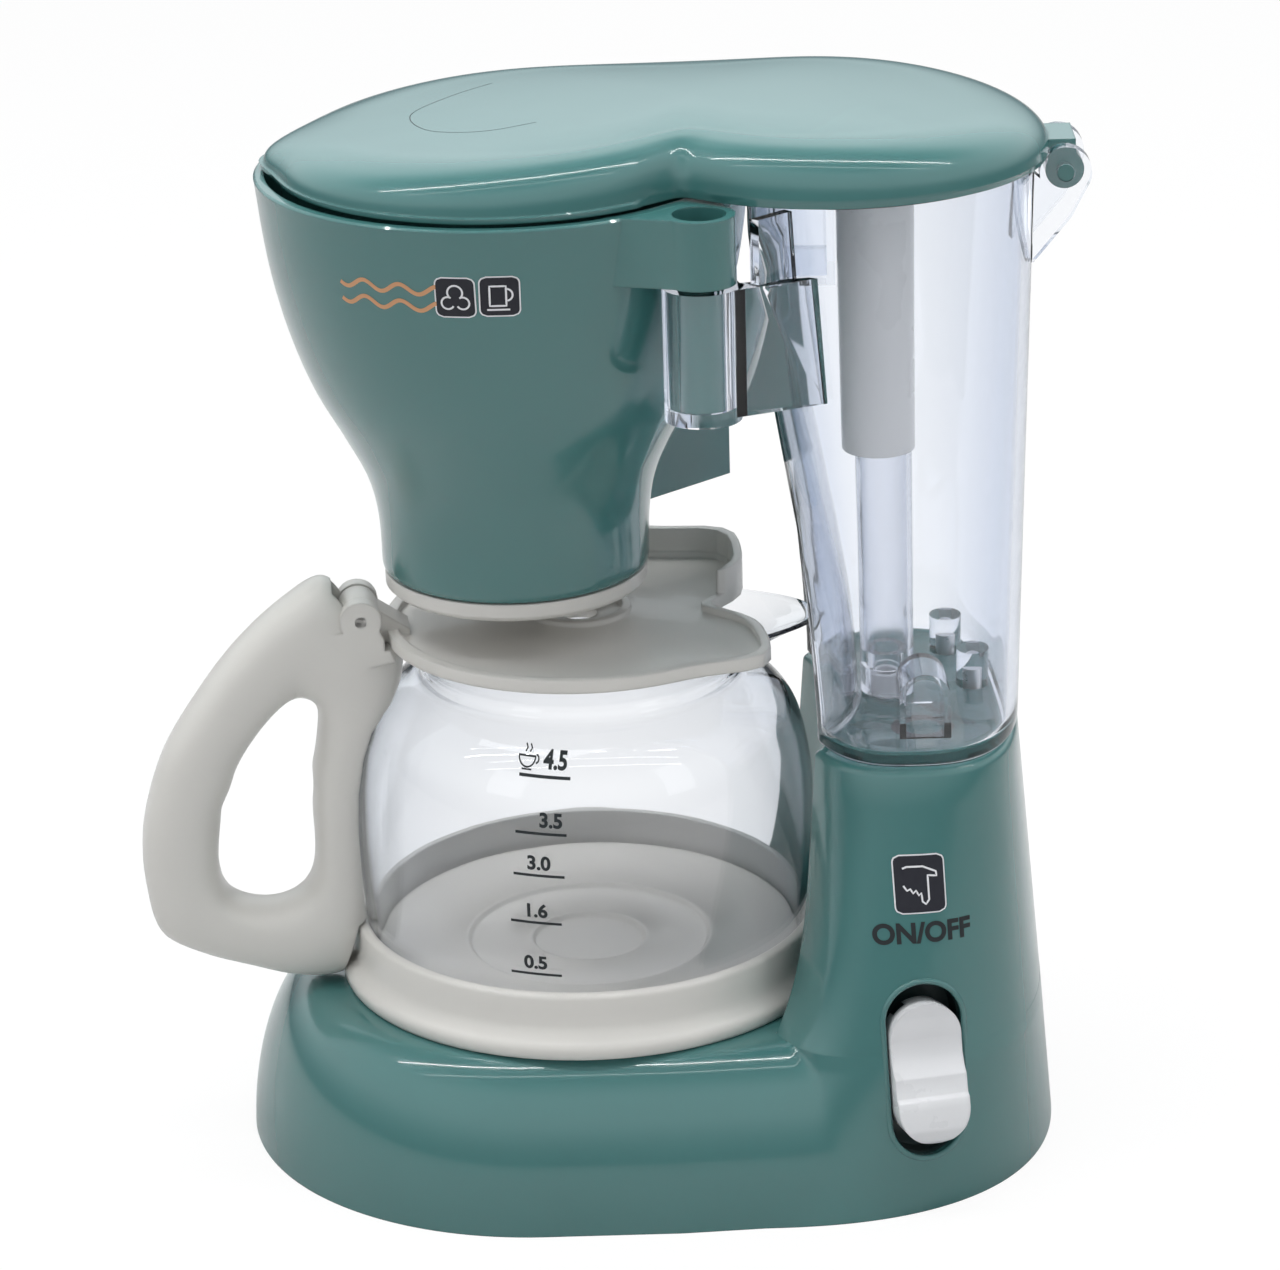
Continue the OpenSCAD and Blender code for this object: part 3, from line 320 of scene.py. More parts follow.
def clear_plastic(name, middle, rim, rough=0.03, peel=0.04):
    """Clear plastic that darkens towards its edges, with faint moulding waves."""
    material, nodes, links, bsdf = shader(name)
    facing = nodes.new("ShaderNodeLayerWeight")
    facing.inputs["Blend"].default_value = 0.35
    tint = nodes.new("ShaderNodeMix")
    tint.data_type = "RGBA"
    tint.inputs[6].default_value = (*middle, 1)
    tint.inputs[7].default_value = (*rim, 1)
    links.new(facing.outputs["Facing"], tint.inputs[0])
    links.new(tint.outputs[2], bsdf.inputs["Base Color"])
    waves = fixed_noise(nodes, links, CLEAR_SCALE, 2.0)
    bump = nodes.new("ShaderNodeBump")
    bump.inputs["Strength"].default_value = peel
    bump.inputs["Distance"].default_value = WAVE_DEPTH
    links.new(waves.outputs["Fac"], bump.inputs["Height"])
    links.new(bump.outputs["Normal"], bsdf.inputs["Normal"])
    bsdf.inputs["Transmission Weight"].default_value = 1.0
    bsdf.inputs["Roughness"].default_value = rough
    bsdf.inputs["IOR"].default_value = 1.46
    path = nodes.new("ShaderNodeLightPath")
    dim = nodes.new("ShaderNodeMath")
    dim.operation = "MAXIMUM"
    through = nodes.new("ShaderNodeBsdfTransparent")
    through.inputs["Color"].default_value = (*[0.5 + 0.5 * c for c in middle], 1)
    blend = nodes.new("ShaderNodeMixShader")
    links.new(path.outputs["Is Shadow Ray"], dim.inputs[0])
    links.new(path.outputs["Is Diffuse Ray"], dim.inputs[1])
    links.new(dim.outputs[0], blend.inputs[0])
    links.new(bsdf.outputs[0], blend.inputs[1])
    links.new(through.outputs[0], blend.inputs[2])
    links.new(blend.outputs[0], nodes["Material Output"].inputs["Surface"])
    return material


def metal(name, colour, rough=0.3):
    """Bare metal with an uneven sheen."""
    material, nodes, links, bsdf = shader(name)
    grain = fixed_noise(nodes, links, METAL_SCALE)
    spread = nodes.new("ShaderNodeMapRange")
    spread.inputs["To Min"].default_value = rough * 0.7
    spread.inputs["To Max"].default_value = rough * 1.3
    links.new(grain.outputs["Fac"], spread.inputs["Value"])
    links.new(spread.outputs["Result"], bsdf.inputs["Roughness"])
    bsdf.inputs["Base Color"].default_value = (*colour, 1)
    bsdf.inputs["Metallic"].default_value = 1.0
    return material


def ink(name, colour, rough=0.35, metallic=0.0):
    """Printed ink with a slightly uneven cover."""
    material, nodes, links, bsdf = shader(name)
    cover = fixed_noise(nodes, links, INK_SCALE)
    spread = nodes.new("ShaderNodeMapRange")
    spread.inputs["To Min"].default_value = rough * 0.8
    spread.inputs["To Max"].default_value = rough * 1.3
    links.new(cover.outputs["Fac"], spread.inputs["Value"])
    links.new(spread.outputs["Result"], bsdf.inputs["Roughness"])
    bsdf.inputs["Base Color"].default_value = (*colour, 1)
    bsdf.inputs["Metallic"].default_value = metallic
    return material


green = plastic("green_plastic", (0.052, 0.172, 0.166), rough=0.2, coat=0.8)
# A darker copy of the housing green, used as painted shade: on the switch body down in its well and on the
# seam of the lid.
painted_shade_green = plastic("green_plastic_painted_shade", (0.016, 0.04, 0.04), rough=0.35, coat=0.1)
cream = plastic("cream_plastic", (0.66, 0.645, 0.61), rough=0.32, coat=0.2, mottle=0.02, edge=0.0007)
white = plastic("white_plastic", (0.74, 0.745, 0.76), rough=0.28, coat=0.2, mottle=0.015)
dark = plastic("dark_plastic", (0.02, 0.021, 0.024), rough=0.4, coat=0.0)
tank_clear = clear_plastic("tank_plastic", (0.95, 0.965, 0.99), (0.50, 0.58, 0.74))
jug_clear = clear_plastic("jug_plastic", (0.965, 0.972, 0.985), (0.52, 0.57, 0.64), peel=0.025)
tube_clear = clear_plastic("tube_plastic", (0.90, 0.915, 0.95), (0.5, 0.55, 0.66), rough=0.12)
steel = metal("steel", (0.62, 0.63, 0.65))
brass = metal("contact_spring", (0.66, 0.64, 0.6), 0.25)
cell_skin = plastic("cell_wrap", (0.62, 0.21, 0.03), rough=0.35, coat=0.1)
red_skin = plastic("red_insulation", (0.45, 0.02, 0.02), rough=0.45, coat=0.0)
label_black = ink("label_black", (0.006, 0.006, 0.013), rough=0.5)
label_white = ink("label_white", (0.8, 0.8, 0.82))
copper_ink = ink("copper_ink", (0.62, 0.33, 0.17), rough=0.4, metallic=0.35)
mark_ink = ink("mark_ink", (0.006, 0.01, 0.012), rough=0.55)

# ---- base and tower ----

DOME_LEVELS = (0, 0.15, 0.3, 0.4, 0.48, 0.56, 0.63, 0.7, 0.76, 0.81, 0.86, 0.9, 0.93, 0.955, 0.975, 0.99, 1)
TOWER_LEVELS = (0, 0.03, 0.07, 0.12, 0.18, 0.28, 0.4, 0.53, 0.66, 0.78, 0.9)
SEARCH_FROM, SEARCH_TO, SEARCH_STEPS, CROWDING = 1.0, 140.0, 22, 26
BEAD_R, BEAD_SINK, WELL_RIM = 0.55, 0.00016, 0.5


def dome_inset(z, top):
    """How far the base is drawn in at a height: not at all at the floor, by its rounding at the top."""
    return BASE_ROUND * (1 - (1 - max(min(z / top, 1), 0) ** DOME_BEND) ** (1 / DOME_SQUARE))


def hollow_at(x0, r, y):
    """Where the round hollow for the jug ends, at a distance y from the middle."""
    return x0 - r + np.sqrt(np.maximum(r * r - y * y, 0))


def in_oval(x, y, a, b, n):
    return (np.abs(x) / a) ** n + (np.abs(y) / b) ** n < 1


def in_base(x, y, r):
    """Whether points lie in the long rounded base, which tucks in a little towards the tower."""
    w = r - TUCK * np.clip((x - TUCK_FROM) / TUCK_RUN, 0, 1)
    square = np.where(x > 0, END_SQUARE, 2.0)
    return np.where(np.abs(x) < BASE_MID, np.abs(y) < w, in_oval(np.abs(x) - BASE_MID, y, w, w, square))


def in_tower(x, y, z, inset):
    """Whether points lie in the tower, which widens downwards and is hollowed on the side of the jug."""
    drop = TOWER_H - z
    mid = np.interp(z, [0, WAIST_Z, TOWER_H], [BASE_MID, WAIST_MID, SEAT_MID])
    n = np.interp(z, [0, WAIST_Z], [END_SQUARE, SEAT_SQUARE])
    left = TOWER_LEFT - FLARE * math.exp(-max(z - BASE_H, 0) / FLARE)
    right = SEAT_RIGHT + (BASE_LEN / 2 - SEAT_RIGHT) * drop / TOWER_H
    half = np.where(x < mid, mid - left, right - mid) - inset
    depth = TANK_HALF + TOWER_SLOPE * drop - inset
    return (x > hollow_at(HOLLOW_X, HOLLOW_R, y) + inset) & in_oval(x - mid, y, half, depth, n)


def shell_ring(z, inset, r):
    """One level of the shell about the middle of the tower, which joins a base of radius r if given."""
    a = 360 * (np.arange(SMOOTH_N) + 0.5) / SMOOTH_N
    t = np.radians(a + CROWDING * np.sin(np.radians(a)))
    near, far = np.full(SMOOTH_N, SEARCH_FROM), np.full(SMOOTH_N, SEARCH_TO)
    for _ in range(SEARCH_STEPS):
        d = (near + far) / 2
        x, y = SEAT_MID + d * np.cos(t), d * np.sin(t)
        inside = in_tower(x, y, z, inset)
        if r > 0:
            inside = inside | in_base(x, y, r)
        near, far = np.where(inside, d, near), np.where(inside, far, d)
    return np.stack([SEAT_MID + near * np.cos(t), near * np.sin(t), np.full(SMOOTH_N, z)], axis=1)


def shell_rings(inset, plateau, seat):
    """The shell from the floor over the domed base and up the tower to its seat."""
    side = [shell_ring(u * plateau, inset, BASE_END - inset - dome_inset(u * plateau, plateau))
            for u in DOME_LEVELS]
    tower = [shell_ring(plateau + u * (seat - 2 - plateau), inset + 0.02, 0) for u in TOWER_LEVELS]
    seat_rings = [shell_ring(seat - 1.4, inset + 0.02, 0), shell_ring(seat - 0.9, inset + 0.12, 0),
                  shell_ring(seat - 0.4, inset + LIP / 2, 0), shell_ring(seat - 0.1, inset + LIP, 0),
                  shell_ring(seat, inset + LIP * 1.5, 0)]
    return smooth_rings(side, 2) + smooth_rings(tower, 3) + seat_rings


def on_switch():
    """The place of the switch: its X and Y lie in the sloped wall of the tower, its Z points out."""
    return put(SWITCH_X, SWITCH_Y, SWITCH_Z) @ turn(SWITCH_TURN, "Z") @ turn(90 - SWITCH_TILT, "X")


def surface_of(piece):
    """The skin of a piece, to find where a straight line meets it."""
    return BVHTree.FromObject(piece, bpy.context.evaluated_depsgraph_get())


def tube(name, points, r):
    """A round bead along a closed row of points in metres."""
    points = [Vector(p) for p in points]
    count, sides = len(points), 10
    rings = []
    normal = Vector((0, 0, 1))
    for i, p in enumerate(points):
        along = (points[(i + 1) % count] - points[i - 1]).normalized()
        normal = (normal - along * normal.dot(along)).normalized()
        other = along.cross(normal)
        rings.append([(p / MM + (normal * math.cos(a) + other * math.sin(a)) * r)[:]
                      for a in [2 * math.pi * k / sides for k in range(sides)]])
    return loft(name, rings, closed=True, sharp=80)


def make_base():
    """The base with its tower, and the well of the switch with a beaded rim."""
    outer = shell_rings(0, BASE_H, TOWER_H)
    inner = shell_rings(SHELL_WALL, BASE_H - SHELL_WALL, TOWER_H - DECK_T)
    shell = loft("base_body", inner[::-1] + outer)
    skin = surface_of(shell)
    place = on_switch()
    out = (place.to_3x3() @ Vector((0, 0, 1))).normalized()
    rim = []
    for x, y in stadium(WELL_W + WELL_RIM, WELL_H + WELL_RIM, 96):
        start = place @ (Vector((x, y, 30)) * MM)
        hit = skin.ray_cast(start, -out)[0]
        rim.append(hit - out * BEAD_SINK)
    cut(shell, prism("well_cut", stadium(WELL_W, WELL_H, 96), -14, 20, place))
    finish_piece(shell, "housing", green, "base_shell", slot="green")
    bead = tube("well_rim", rim, BEAD_R)
    finish_piece(bead, "housing", green, slot="green")
    return skin


# ---- water tank ----

TANK_LEAN, TANK_SPREAD, TANK_BACK, TANK_SQUARING, TANK_HOLLOWING = 11.5, 1.1, 3.4, 0.65, 1.6
TANK_LEVELS = (0.08, 0.2, 0.32, 0.42, 0.52, 0.62, 0.72, 0.82, 0.92, 1)
CHANNEL = [(24.9, -11), (35.9, -11), (35.9, 11), (24.9, 11)]
CHANNEL_HOLLOW = [(23.9, -9.5), (34.4, -9.5), (34.4, 9.5), (23.9, 9.5)]
SOCKET_WEB = [(HINGE_X + 4, HINGE_Y - 4.2), (33.4, -33.75), (33.2, -33.1), (HINGE_X + 5, HINGE_Y + 0.6)]
SOCKET_RIB = [(20.5, -36.4), (22, -37.4), (29, -31.2), (27.6, -30)]


def oval_points(a, b, n, t):
    """Points of a squared oval of half sizes a and b; the higher n, the squarer."""
    c, s = np.cos(t), np.sin(t)
    return a * np.sign(c) * np.abs(c) ** (2 / n), b * np.sign(s) * np.abs(s) ** (2 / n)


def tank_ring(z, inset):
    """One level of the tank, which leans over the jug towards its top."""
    u = (z - TOWER_H) / TANK_H
    mid, half = SEAT_MID - TANK_LEAN * u, TANK_HALF + TANK_SPREAD * u - inset
    left = np.interp(u, [0, 0.4, 0.62, 1], [29, 26.5, 22.6, 17.2]) + inset
    right = SEAT_RIGHT + TANK_BACK * u - inset
    arc_x = np.interp(u, [0, 0.15, 0.8], [HOLLOW_X, HOLLOW_X - 0.4, 24.6]) + inset
    t = np.radians(-90 + 360 * np.arange(SMOOTH_N) / SMOOTH_N)
    run = np.where(np.cos(t) < 0, mid - left, right - mid)
    x, y = oval_points(run, half, SEAT_SQUARE - TANK_SQUARING * u, t)
    x = np.maximum(x + mid, hollow_at(arc_x, HOLLOW_R - TANK_HOLLOWING * u, y))
    return np.stack([x, y, np.full(SMOOTH_N, z)], axis=1)


def tank_rings(inset, low, edge):
    foot = [tank_ring(low, inset + edge), tank_ring(low + edge * 0.15, inset + edge * 0.6),
            tank_ring(low + edge / 2, inset + edge / 4), tank_ring(low + edge, inset)]
    wall = [tank_ring(TOWER_H + u * TANK_H, inset) for u in TANK_LEVELS]
    return foot + smooth_rings([foot[-1]] + wall, 4)[1:]


def make_tank():
    """The tank with the channel of the spout, the hinge socket, the ears of the lid and two bosses."""
    outer, inner = tank_rings(0, TOWER_H, 1.4), tank_rings(TANK_WALL, TOWER_H + TANK_FLOOR_T, 1.2)
    tank = loft("tank_body", outer + inner[::-1])
    channel = prism("channel", CHANNEL, SOCKET_TOP - 8, TANK_TOP - 1)
    cut(channel, prism("channel_hollow", CHANNEL_HOLLOW, SOCKET_TOP - 6.5, TANK_TOP + 5))
    join(tank, channel)
    join(tank, prism("socket", circle(SOCKET_R, 96, HINGE_X, HINGE_Y), SOCKET_LOW, SOCKET_TOP))
    join(tank, prism("web", SOCKET_WEB, SOCKET_LOW + 1, SOCKET_TOP))
    join(tank, prism("rib", SOCKET_RIB, SOCKET_TOP - 1, TANK_TOP - 1))
    for side in (-1, 1):
        ear = [(70, TANK_TOP - 1), (70, TANK_TOP - 18), (71, TANK_TOP - 18),
               (LID_AXIS_X + 1, LID_AXIS_Z - 8), (LID_AXIS_X + 3.9, LID_AXIS_Z - 2.4)]
        ear += [(LID_AXIS_X + EAR_R * math.cos(a), LID_AXIS_Z + EAR_R * math.sin(a))
                for a in np.radians(np.arange(-25, 200, 12))]
        place = put(0, side * (EAR_IN + EAR_T / 2) + EAR_T / 2, 0) @ turn(90, "X")
        join(tank, prism("ear", ear, 0, EAR_T, place))
    bore = circle(PIVOT_R + PIVOT_GAP, 64, HINGE_X, HINGE_Y)
    cut(tank, prism("socket_bore", bore, SOCKET_LOW + 2, SOCKET_TOP + 20))
    pin_hole = circle(LID_PIN_R + LID_PIN_GAP, 32, LID_AXIS_X, LID_AXIS_Z)
    cut(tank, prism("ear_bore", pin_hole, 0, 40, put(0, 20, 0) @ turn(90, "X")))
    for x, y in TANK_BOSS_AT:
        join(tank, prism("tank_boss", circle(TANK_BOSS_R, 48, x, y), TOWER_H + 1, TOWER_H + TANK_BOSS_H))
    return finish_piece(tank, "housing", tank_clear, "water_tank", slot="clear")


# ---- lid ----

TAB_SIDE, LOBE_BLEND, LID_START = 180, 14, -178
LIP_FROM, LIP_TO = 110, -105
SAG_LEFT, SAG_RIGHT, SAG_RUN = 4.0, 9.0, 86
LID_BARREL_R, TONGUE_H, SEAM_SHADE_W, SEAM_SHADE_LIFT = 3.4, 5.2, 0.22, 0.015
# Points of the thin dark strip that paints the shade of the arc-shaped seam on the lid's top; its width and
# lift stand in the line above.
LID_SEAM_SHADE = [(-23.7, 20), (-31, 12.9), (-37.7, 2.2), (-34.6, -9.3), (-28.7, -13.3), (-23, -14),
            (-15.4, -11.4)]


def lobe_reach(at, r, t):
    """Distance from the middle of the lid to the edge of one round lobe, in the direction t."""
    v = LID_AT - at
    b = v[0] * np.cos(t) + v[1] * np.sin(t)
    q = b * b - v @ v + r * r
    return np.where(q > 0, np.maximum(-b + np.sqrt(np.maximum(q, 0)), 0.1), 0.1)


def lid_outline(t):
    """Distance to the outline in the direction t: two lobes, a straight back and a small finger tab."""
    t = (t + 3 * math.pi) % (2 * math.pi) - math.pi
    a, b = lobe_reach(LID_LEFT_AT, LID_LEFT_R, t), lobe_reach(LID_RIGHT_AT, LID_RIGHT_R, t)
    d = LID_RIGHT_AT - LID_LEFT_AT
    k = math.atan2(d[1], d[0]) + math.acos((LID_LEFT_R - LID_RIGHT_R) / np.linalg.norm(d))
    n = np.array([math.cos(k), math.sin(k)])
    start, stop = LID_RIGHT_AT + LID_RIGHT_R * n - LID_AT, LID_LEFT_AT + LID_LEFT_R * n - LID_AT
    straight = (n @ (LID_LEFT_AT - LID_AT) + LID_LEFT_R) / (n[0] * np.cos(t) + n[1] * np.sin(t))
    tab = TAB_RUN * np.exp(-(((TAB_SIDE - np.abs(np.degrees(t))) / TAB_TURN) ** 2))
    behind = (t > math.atan2(start[1], start[0])) & (t < math.atan2(stop[1], stop[0]))
    return np.where(behind, straight, (a**LOBE_BLEND + b**LOBE_BLEND) ** (1 / LOBE_BLEND) + tab)


def lid_reach(inset, t):
    """The outline drawn in, and the rounder the further in, so that the waist flattens out."""
    w = np.radians(WAIST_SPREAD * inset)
    return (lid_outline(t - w) + 2 * lid_outline(t) + lid_outline(t + w)) / 4 - INSET_GAIN * inset


def lid_ring(z, inset, droop, lip, share=1.0):
    """One ring of the lid: drawn in, sagging towards both ends, with the finger lip on the left."""
    turns = LID_START + 360 * np.arange(SMOOTH_N) / SMOOTH_N
    t = np.radians(turns)
    lip_share = np.where((turns > LIP_FROM) | (turns < LIP_TO), 1.0, 0.0)
    r = share * (lid_reach(inset, t) + lip * lip_share)
    x, y = LID_AT[0] + r * np.cos(t), LID_AT[1] + r * np.sin(t)
    sag = np.where(x < LID_HIGH_X, SAG_LEFT, SAG_RIGHT) * ((x - LID_HIGH_X) / SAG_RUN) ** 2
    return np.stack([x, y, z + CROWN * (1 - share * share) - droop * sag], axis=1)


def lid_rings(inset, low, top):
    h = top - low
    rim = [lid_ring(low, inset + 0.3, 0, LIP_RUN), lid_ring(low + 0.9, inset + 0.1, 0, LIP_RUN),
           lid_ring(low + 1.2, inset, 0.1, 0)]
    side = [rim[-1], lid_ring(low + 0.4 * h, inset + 0.5, 0.4, 0),
            lid_ring(low + 0.64 * h, inset + 1.5, 0.7, 0), lid_ring(low + 0.82 * h, inset + 3.2, 0.9, 0),
            lid_ring(low + 0.94 * h, inset + 6, 1, 0)]
    side += [lid_ring(top, inset + LID_EDGE, 1, 0, share)
             for share in (1, 0.88, 0.75, 0.6, 0.45, 0.3, 0.16, 0.05)]
    return rim + smooth_rings(side, 5)[1:]


def make_lid():
    """The lid with its slots for the two ears, its hinge barrel, and a thin dark strip that paints the
    shade of the arc-shaped seam on top.
    """
    inner = lid_rings(LID_WALL, LID_Z, LID_Z + LID_H - LID_WALL)
    lid = loft("lid_body", inner[::-1] + lid_rings(0, LID_Z, LID_Z + LID_H), sharp=30)
    for side in (-1, 1):
        place = put(0, side * (EAR_IN + EAR_T / 2) + EAR_T / 2 + 0.5, 0) @ turn(90, "X")
        cut(lid, prism("ear_slot", circle(EAR_R + 0.6, 48, LID_AXIS_X, LID_AXIS_Z), 0, EAR_T + 1, place))
    half = EAR_IN - 0.4
    across = put(0, half, 0) @ turn(90, "X")
    join(lid, prism("barrel", circle(LID_BARREL_R, 48, LID_AXIS_X, LID_AXIS_Z), 0, 2 * half, across))
    near, far = LID_AXIS_X - 3, LID_AXIS_X + 2
    tongue = [(near, -half), (far, -half), (far, half), (near, half)]
    join(lid, prism("tongue", tongue, LID_AXIS_Z, LID_AXIS_Z + TONGUE_H))
    finish_piece(lid, "lid", green, "top_lid", slot="green")
    # The seam is not cut into the lid: a thin strip in the darker green, laid just over the top, paints its
    # shade.
    seam_shade_strip, right, up = stroke(smooth_line(LID_SEAM_SHADE, 8), SEAM_SHADE_W), (1, 0, 0), (0, 1, 0)
    stick("lid_seam_painted_shade", seam_shade_strip, (0, 0, LID_Z), right, up, surface_of(lid), SEAM_SHADE_LIFT, painted_shade_green, "lid")


# ---- brew basket ----

BASKET_SIDE = [(24.2, 1.6), (24.4, 9), (25.2, 14.5), (26.7, 19.3), (30, 26), (35, 35.4), (38.7, 45.4),
               (41.2, 55.3), (42.5, 63.2), (43.3, 70.5)]
LATCH_RUN, LATCH_HALF, LATCH_TURN, SPACE_GAP = 52.2, 1.5, 5, 0.3
ARM_H, ARM_HALF, ARM_ROOT, BARREL_WALL, BORE_DEPTH, PIVOT_END = 12, 13, 5, 1.6, 9, 2.2


def make_basket():
    """The basket with its arm, hinge barrel and pivot, and the latch plate at the back."""
    stem_r = BASKET_FOOT_R - BASKET_WALL - 0.2
    side = smooth_line(BASKET_SIDE, 5)
    outer = [(BASKET_FOOT_R - step, z) for step, z in ((1.4, 0), (0.9, 0.12), (0.4, 0.45), (0.1, 0.95))]
    outer += [tuple(p) for p in side] + [(BASKET_R - 0.1, BASKET_H - 0.4), (BASKET_R - 0.5, BASKET_H)]
    inner = [(BASKET_R - BASKET_WALL, BASKET_H)]
    inner += [(r - BASKET_WALL, z) for r, z in side[::-1] if z > 8] + [(stem_r, 6), (stem_r, 0)]
    basket = revolve("basket_body", outer + inner)
    reach = math.hypot(HINGE_X - BASKET_X, HINGE_Y)
    angle = math.degrees(math.atan2(HINGE_Y, HINGE_X - BASKET_X))
    along = turn(angle, "Z")
    root = BASKET_R - ARM_ROOT
    sides = [(reach, -BARREL_R), (reach, BARREL_R), (root, ARM_HALF), (root, -ARM_HALF)]
    barrel, bore = circle(BARREL_R, 96, reach, 0), circle(BARREL_R - BARREL_WALL, 96, reach, 0)
    arm = prism("arm", sides, BASKET_H - ARM_H, BASKET_H - 0.02, along)
    join(arm, prism("barrel_top", barrel, BASKET_H - ARM_H - 0.01, BASKET_H, along))
    cut(arm, prism("arm_inside", circle(BASKET_R - BASKET_WALL - 0.6, 192), -1, BASKET_H + 1))
    cut(arm, prism("barrel_bore", bore, BASKET_H - BORE_DEPTH, BASKET_H + BORE_DEPTH, along))
    join(basket, arm)
    pivot_low = SOCKET_LOW + PIVOT_END - BASKET_Z
    join(basket, prism("pivot", circle(PIVOT_R, 64, reach, 0), pivot_low, BASKET_H - ARM_H + 0.1, along))
    latch = [(stem_r + 1.2, -LATCH_HALF), (LATCH_RUN, -LATCH_HALF), (LATCH_RUN, LATCH_HALF),
             (stem_r + 1.2, LATCH_HALF)]
    plate = prism("latch", latch, 4, BASKET_H - 2, turn(-angle - LATCH_TURN, "Z"))
    space = [(0.01, -5), (stem_r + SPACE_GAP, -5), (stem_r + SPACE_GAP, 6)]
    space += [(r - BASKET_WALL + SPACE_GAP, z) for r, z in side if z > 8]
    space += [(BASKET_R - BASKET_WALL + SPACE_GAP, BASKET_H + 5), (0.01, BASKET_H + 5)]
    cut(plate, revolve("latch_inside", space))
    join(basket, plate)
    basket.data.transform(put(BASKET_X, 0, BASKET_Z))
    skin = surface_of(basket)
    finish_piece(basket, "basket", green, "brew_basket", slot="green")
    return skin


# ---- jug ----

GLASS_SIDE = [(0.968, 4), (0.975, 12), (0.99, 19), (1, 30), (0.992, 38), (0.965, 45), (0.925, 50),
              (0.86, 53.6), (0.775, 56.3)]
NECK_Z, BEAK_RUN, BEAK_TURN, RIM_DIP, RIM_TOP = 58.4, 13.5, 21, 0.2, 0.35
FOOT_GAP, GROOVE_Z, LOW_SHARE, FOOT_SHARE = 0.2, 4, 0.968, 0.975


def on_jug():
    return put(JUG_X, 0, BASE_H) @ turn(180 + JUG_TURN, "Z")


def glass_rings(inset):
    """The round belly of the jug, its neck and its mouth with the beak, about the axis of the jug."""
    t = 360 * (np.arange(SMOOTH_N) + 0.5) / SMOOTH_N - 180
    c, s = np.cos(np.radians(t)), np.sin(np.radians(t))

    def ring(r, z):
        return np.stack([r * c, r * s, np.full(SMOOTH_N, z)], axis=1)

    body = [ring(r * GLASS_R - inset, z) for r, z in GLASS_SIDE]
    mouth = []
    for u in (0, 0.15, 0.3, 0.5, 0.75, 1):
        r = GLASS_R * np.interp(u, [0, 0.3, 0.55, 1], [0.7, 0.682, 0.69, 0.72]) - inset
        beak = BEAK_RUN * u**1.3 * np.exp(-(((180 - np.abs(t)) / BEAK_TURN) ** 2))
        mouth.append(ring(r + beak, NECK_Z + u * (GLASS_H - NECK_Z)))
    return smooth_rings(body + mouth, 4)


def make_glass():
    outer, inner = glass_rings(0), glass_rings(GLASS_WALL)
    lip = (outer[-1] + inner[-1]) / 2 + np.array([0, 0, RIM_TOP])
    rim = [outer[-1] - [0, 0, RIM_DIP], lip, inner[-1] - [0, 0, RIM_DIP]]
    glass = loft("jug_body", list(outer[:-1]) + rim + list(inner[:-1][::-1]), closed=True, sharp=60)
    glass.data.transform(on_jug())
    skin = surface_of(glass)
    finish_piece(glass, "carafe", jug_clear, "carafe_glass", slot="clear")
    return skin


def make_foot_ring():
    """The ring that carries the glass in a groove, with the stepped floor of the jug."""
    low_r, deep = LOW_SHARE * GLASS_R + FOOT_GAP, GROOVE_Z - FOOT_GAP
    low_in = LOW_SHARE * GLASS_R - GLASS_WALL - FOOT_GAP
    under = [(0.01, 1.6), (38, 1.6), (38, 0.6), (40, 0)]
    foot = [(FOOT_R - 0.9, 0), (FOOT_R - 0.3, 0.25), (FOOT_R, 0.9), (FOOT_R, 2.0), (FOOT_R - 0.2, 2.7),
            (FOOT_R - 0.7, 3.2)]
    collar = [(GLASS_R + 1.6, 4.4), (GLASS_R + 1.15, 6), (GLASS_R + 1.0, 8),
              (GLASS_R + 0.9, FOOT_H - 0.9), (GLASS_R + 0.75, FOOT_H - 0.3),
              (GLASS_R + 0.45, FOOT_H - 0.02), (FOOT_SHARE * GLASS_R + FOOT_GAP, FOOT_H)]
    groove = [(low_r, deep), (low_in, deep), (low_in, 6)]
    floor = [(37.6, 5.7), (36, 5), (24, 4.4), (23.4, 5), (22.6, 5), (22, 4.2), (12, 3.8), (11.4, 4.4),
             (10.6, 4.4), (10, 3.6), (0.01, 3.6)]
    profile = under + foot + collar + groove + floor
    ring = revolve("foot_ring", profile, 240, sharp=50)
    ring.data.transform(on_jug())
    return finish_piece(ring, "carafe", cream, "carafe_foot_ring", slot="cream")


HANDLE_MID = (58.0, 36.0)
HANDLE_LOOP = [(0, 8.7, 22.6), (28, 7.8, 21.7), (52, 9.3, 23.2), (80, 13, 30.5), (97, 18, 39.2),
               (106, 21, 44.3), (117, 21, 39.6), (128, 15, 39.4), (136, 12, 35.6), (144, 10, 27.5),
               (167, 8.4, 19), (195, 8, 18.1), (234, 13.5, 28.6), (249, 17.8, 36.6), (264, 19.8, 34.8),
               (279, 20.3, 32.3), (296, 19.4, 32), (311, 15.2, 32.4), (326, 11.6, 28.2), (342, 9.6, 25)]
HOLE_PASSES, EDGE_PASSES, HANDLE_SQUARE = 26, 9, 2.6
KNUCKLE, KNUCKLE_R, KNUCKLE_T, KNUCKLE_Y = (40.0, GLASS_H + 5.6), 3.8, 2.8, 5.2
LID_SLOT = [(20, -3.8), (44.8, -3.8), (44.8, 3.8), (20, 3.8)]
LID_SPACE = [(-1, -20), (35.9, -20), (35.9, 20), (-1, 20)]


def loop_point(t, r):
    """A point at angle t and distance r from the middle of the finger hole."""
    return (HANDLE_MID[0] + r * math.cos(math.radians(t)), HANDLE_MID[1] + r * math.sin(math.radians(t)))


def even_out(points, passes):
    """A closed line with its small waves taken out."""
    for _ in range(passes):
        points = points * 0.5 + (np.roll(points, 1, axis=0) + np.roll(points, -1, axis=0)) * 0.25
    return points


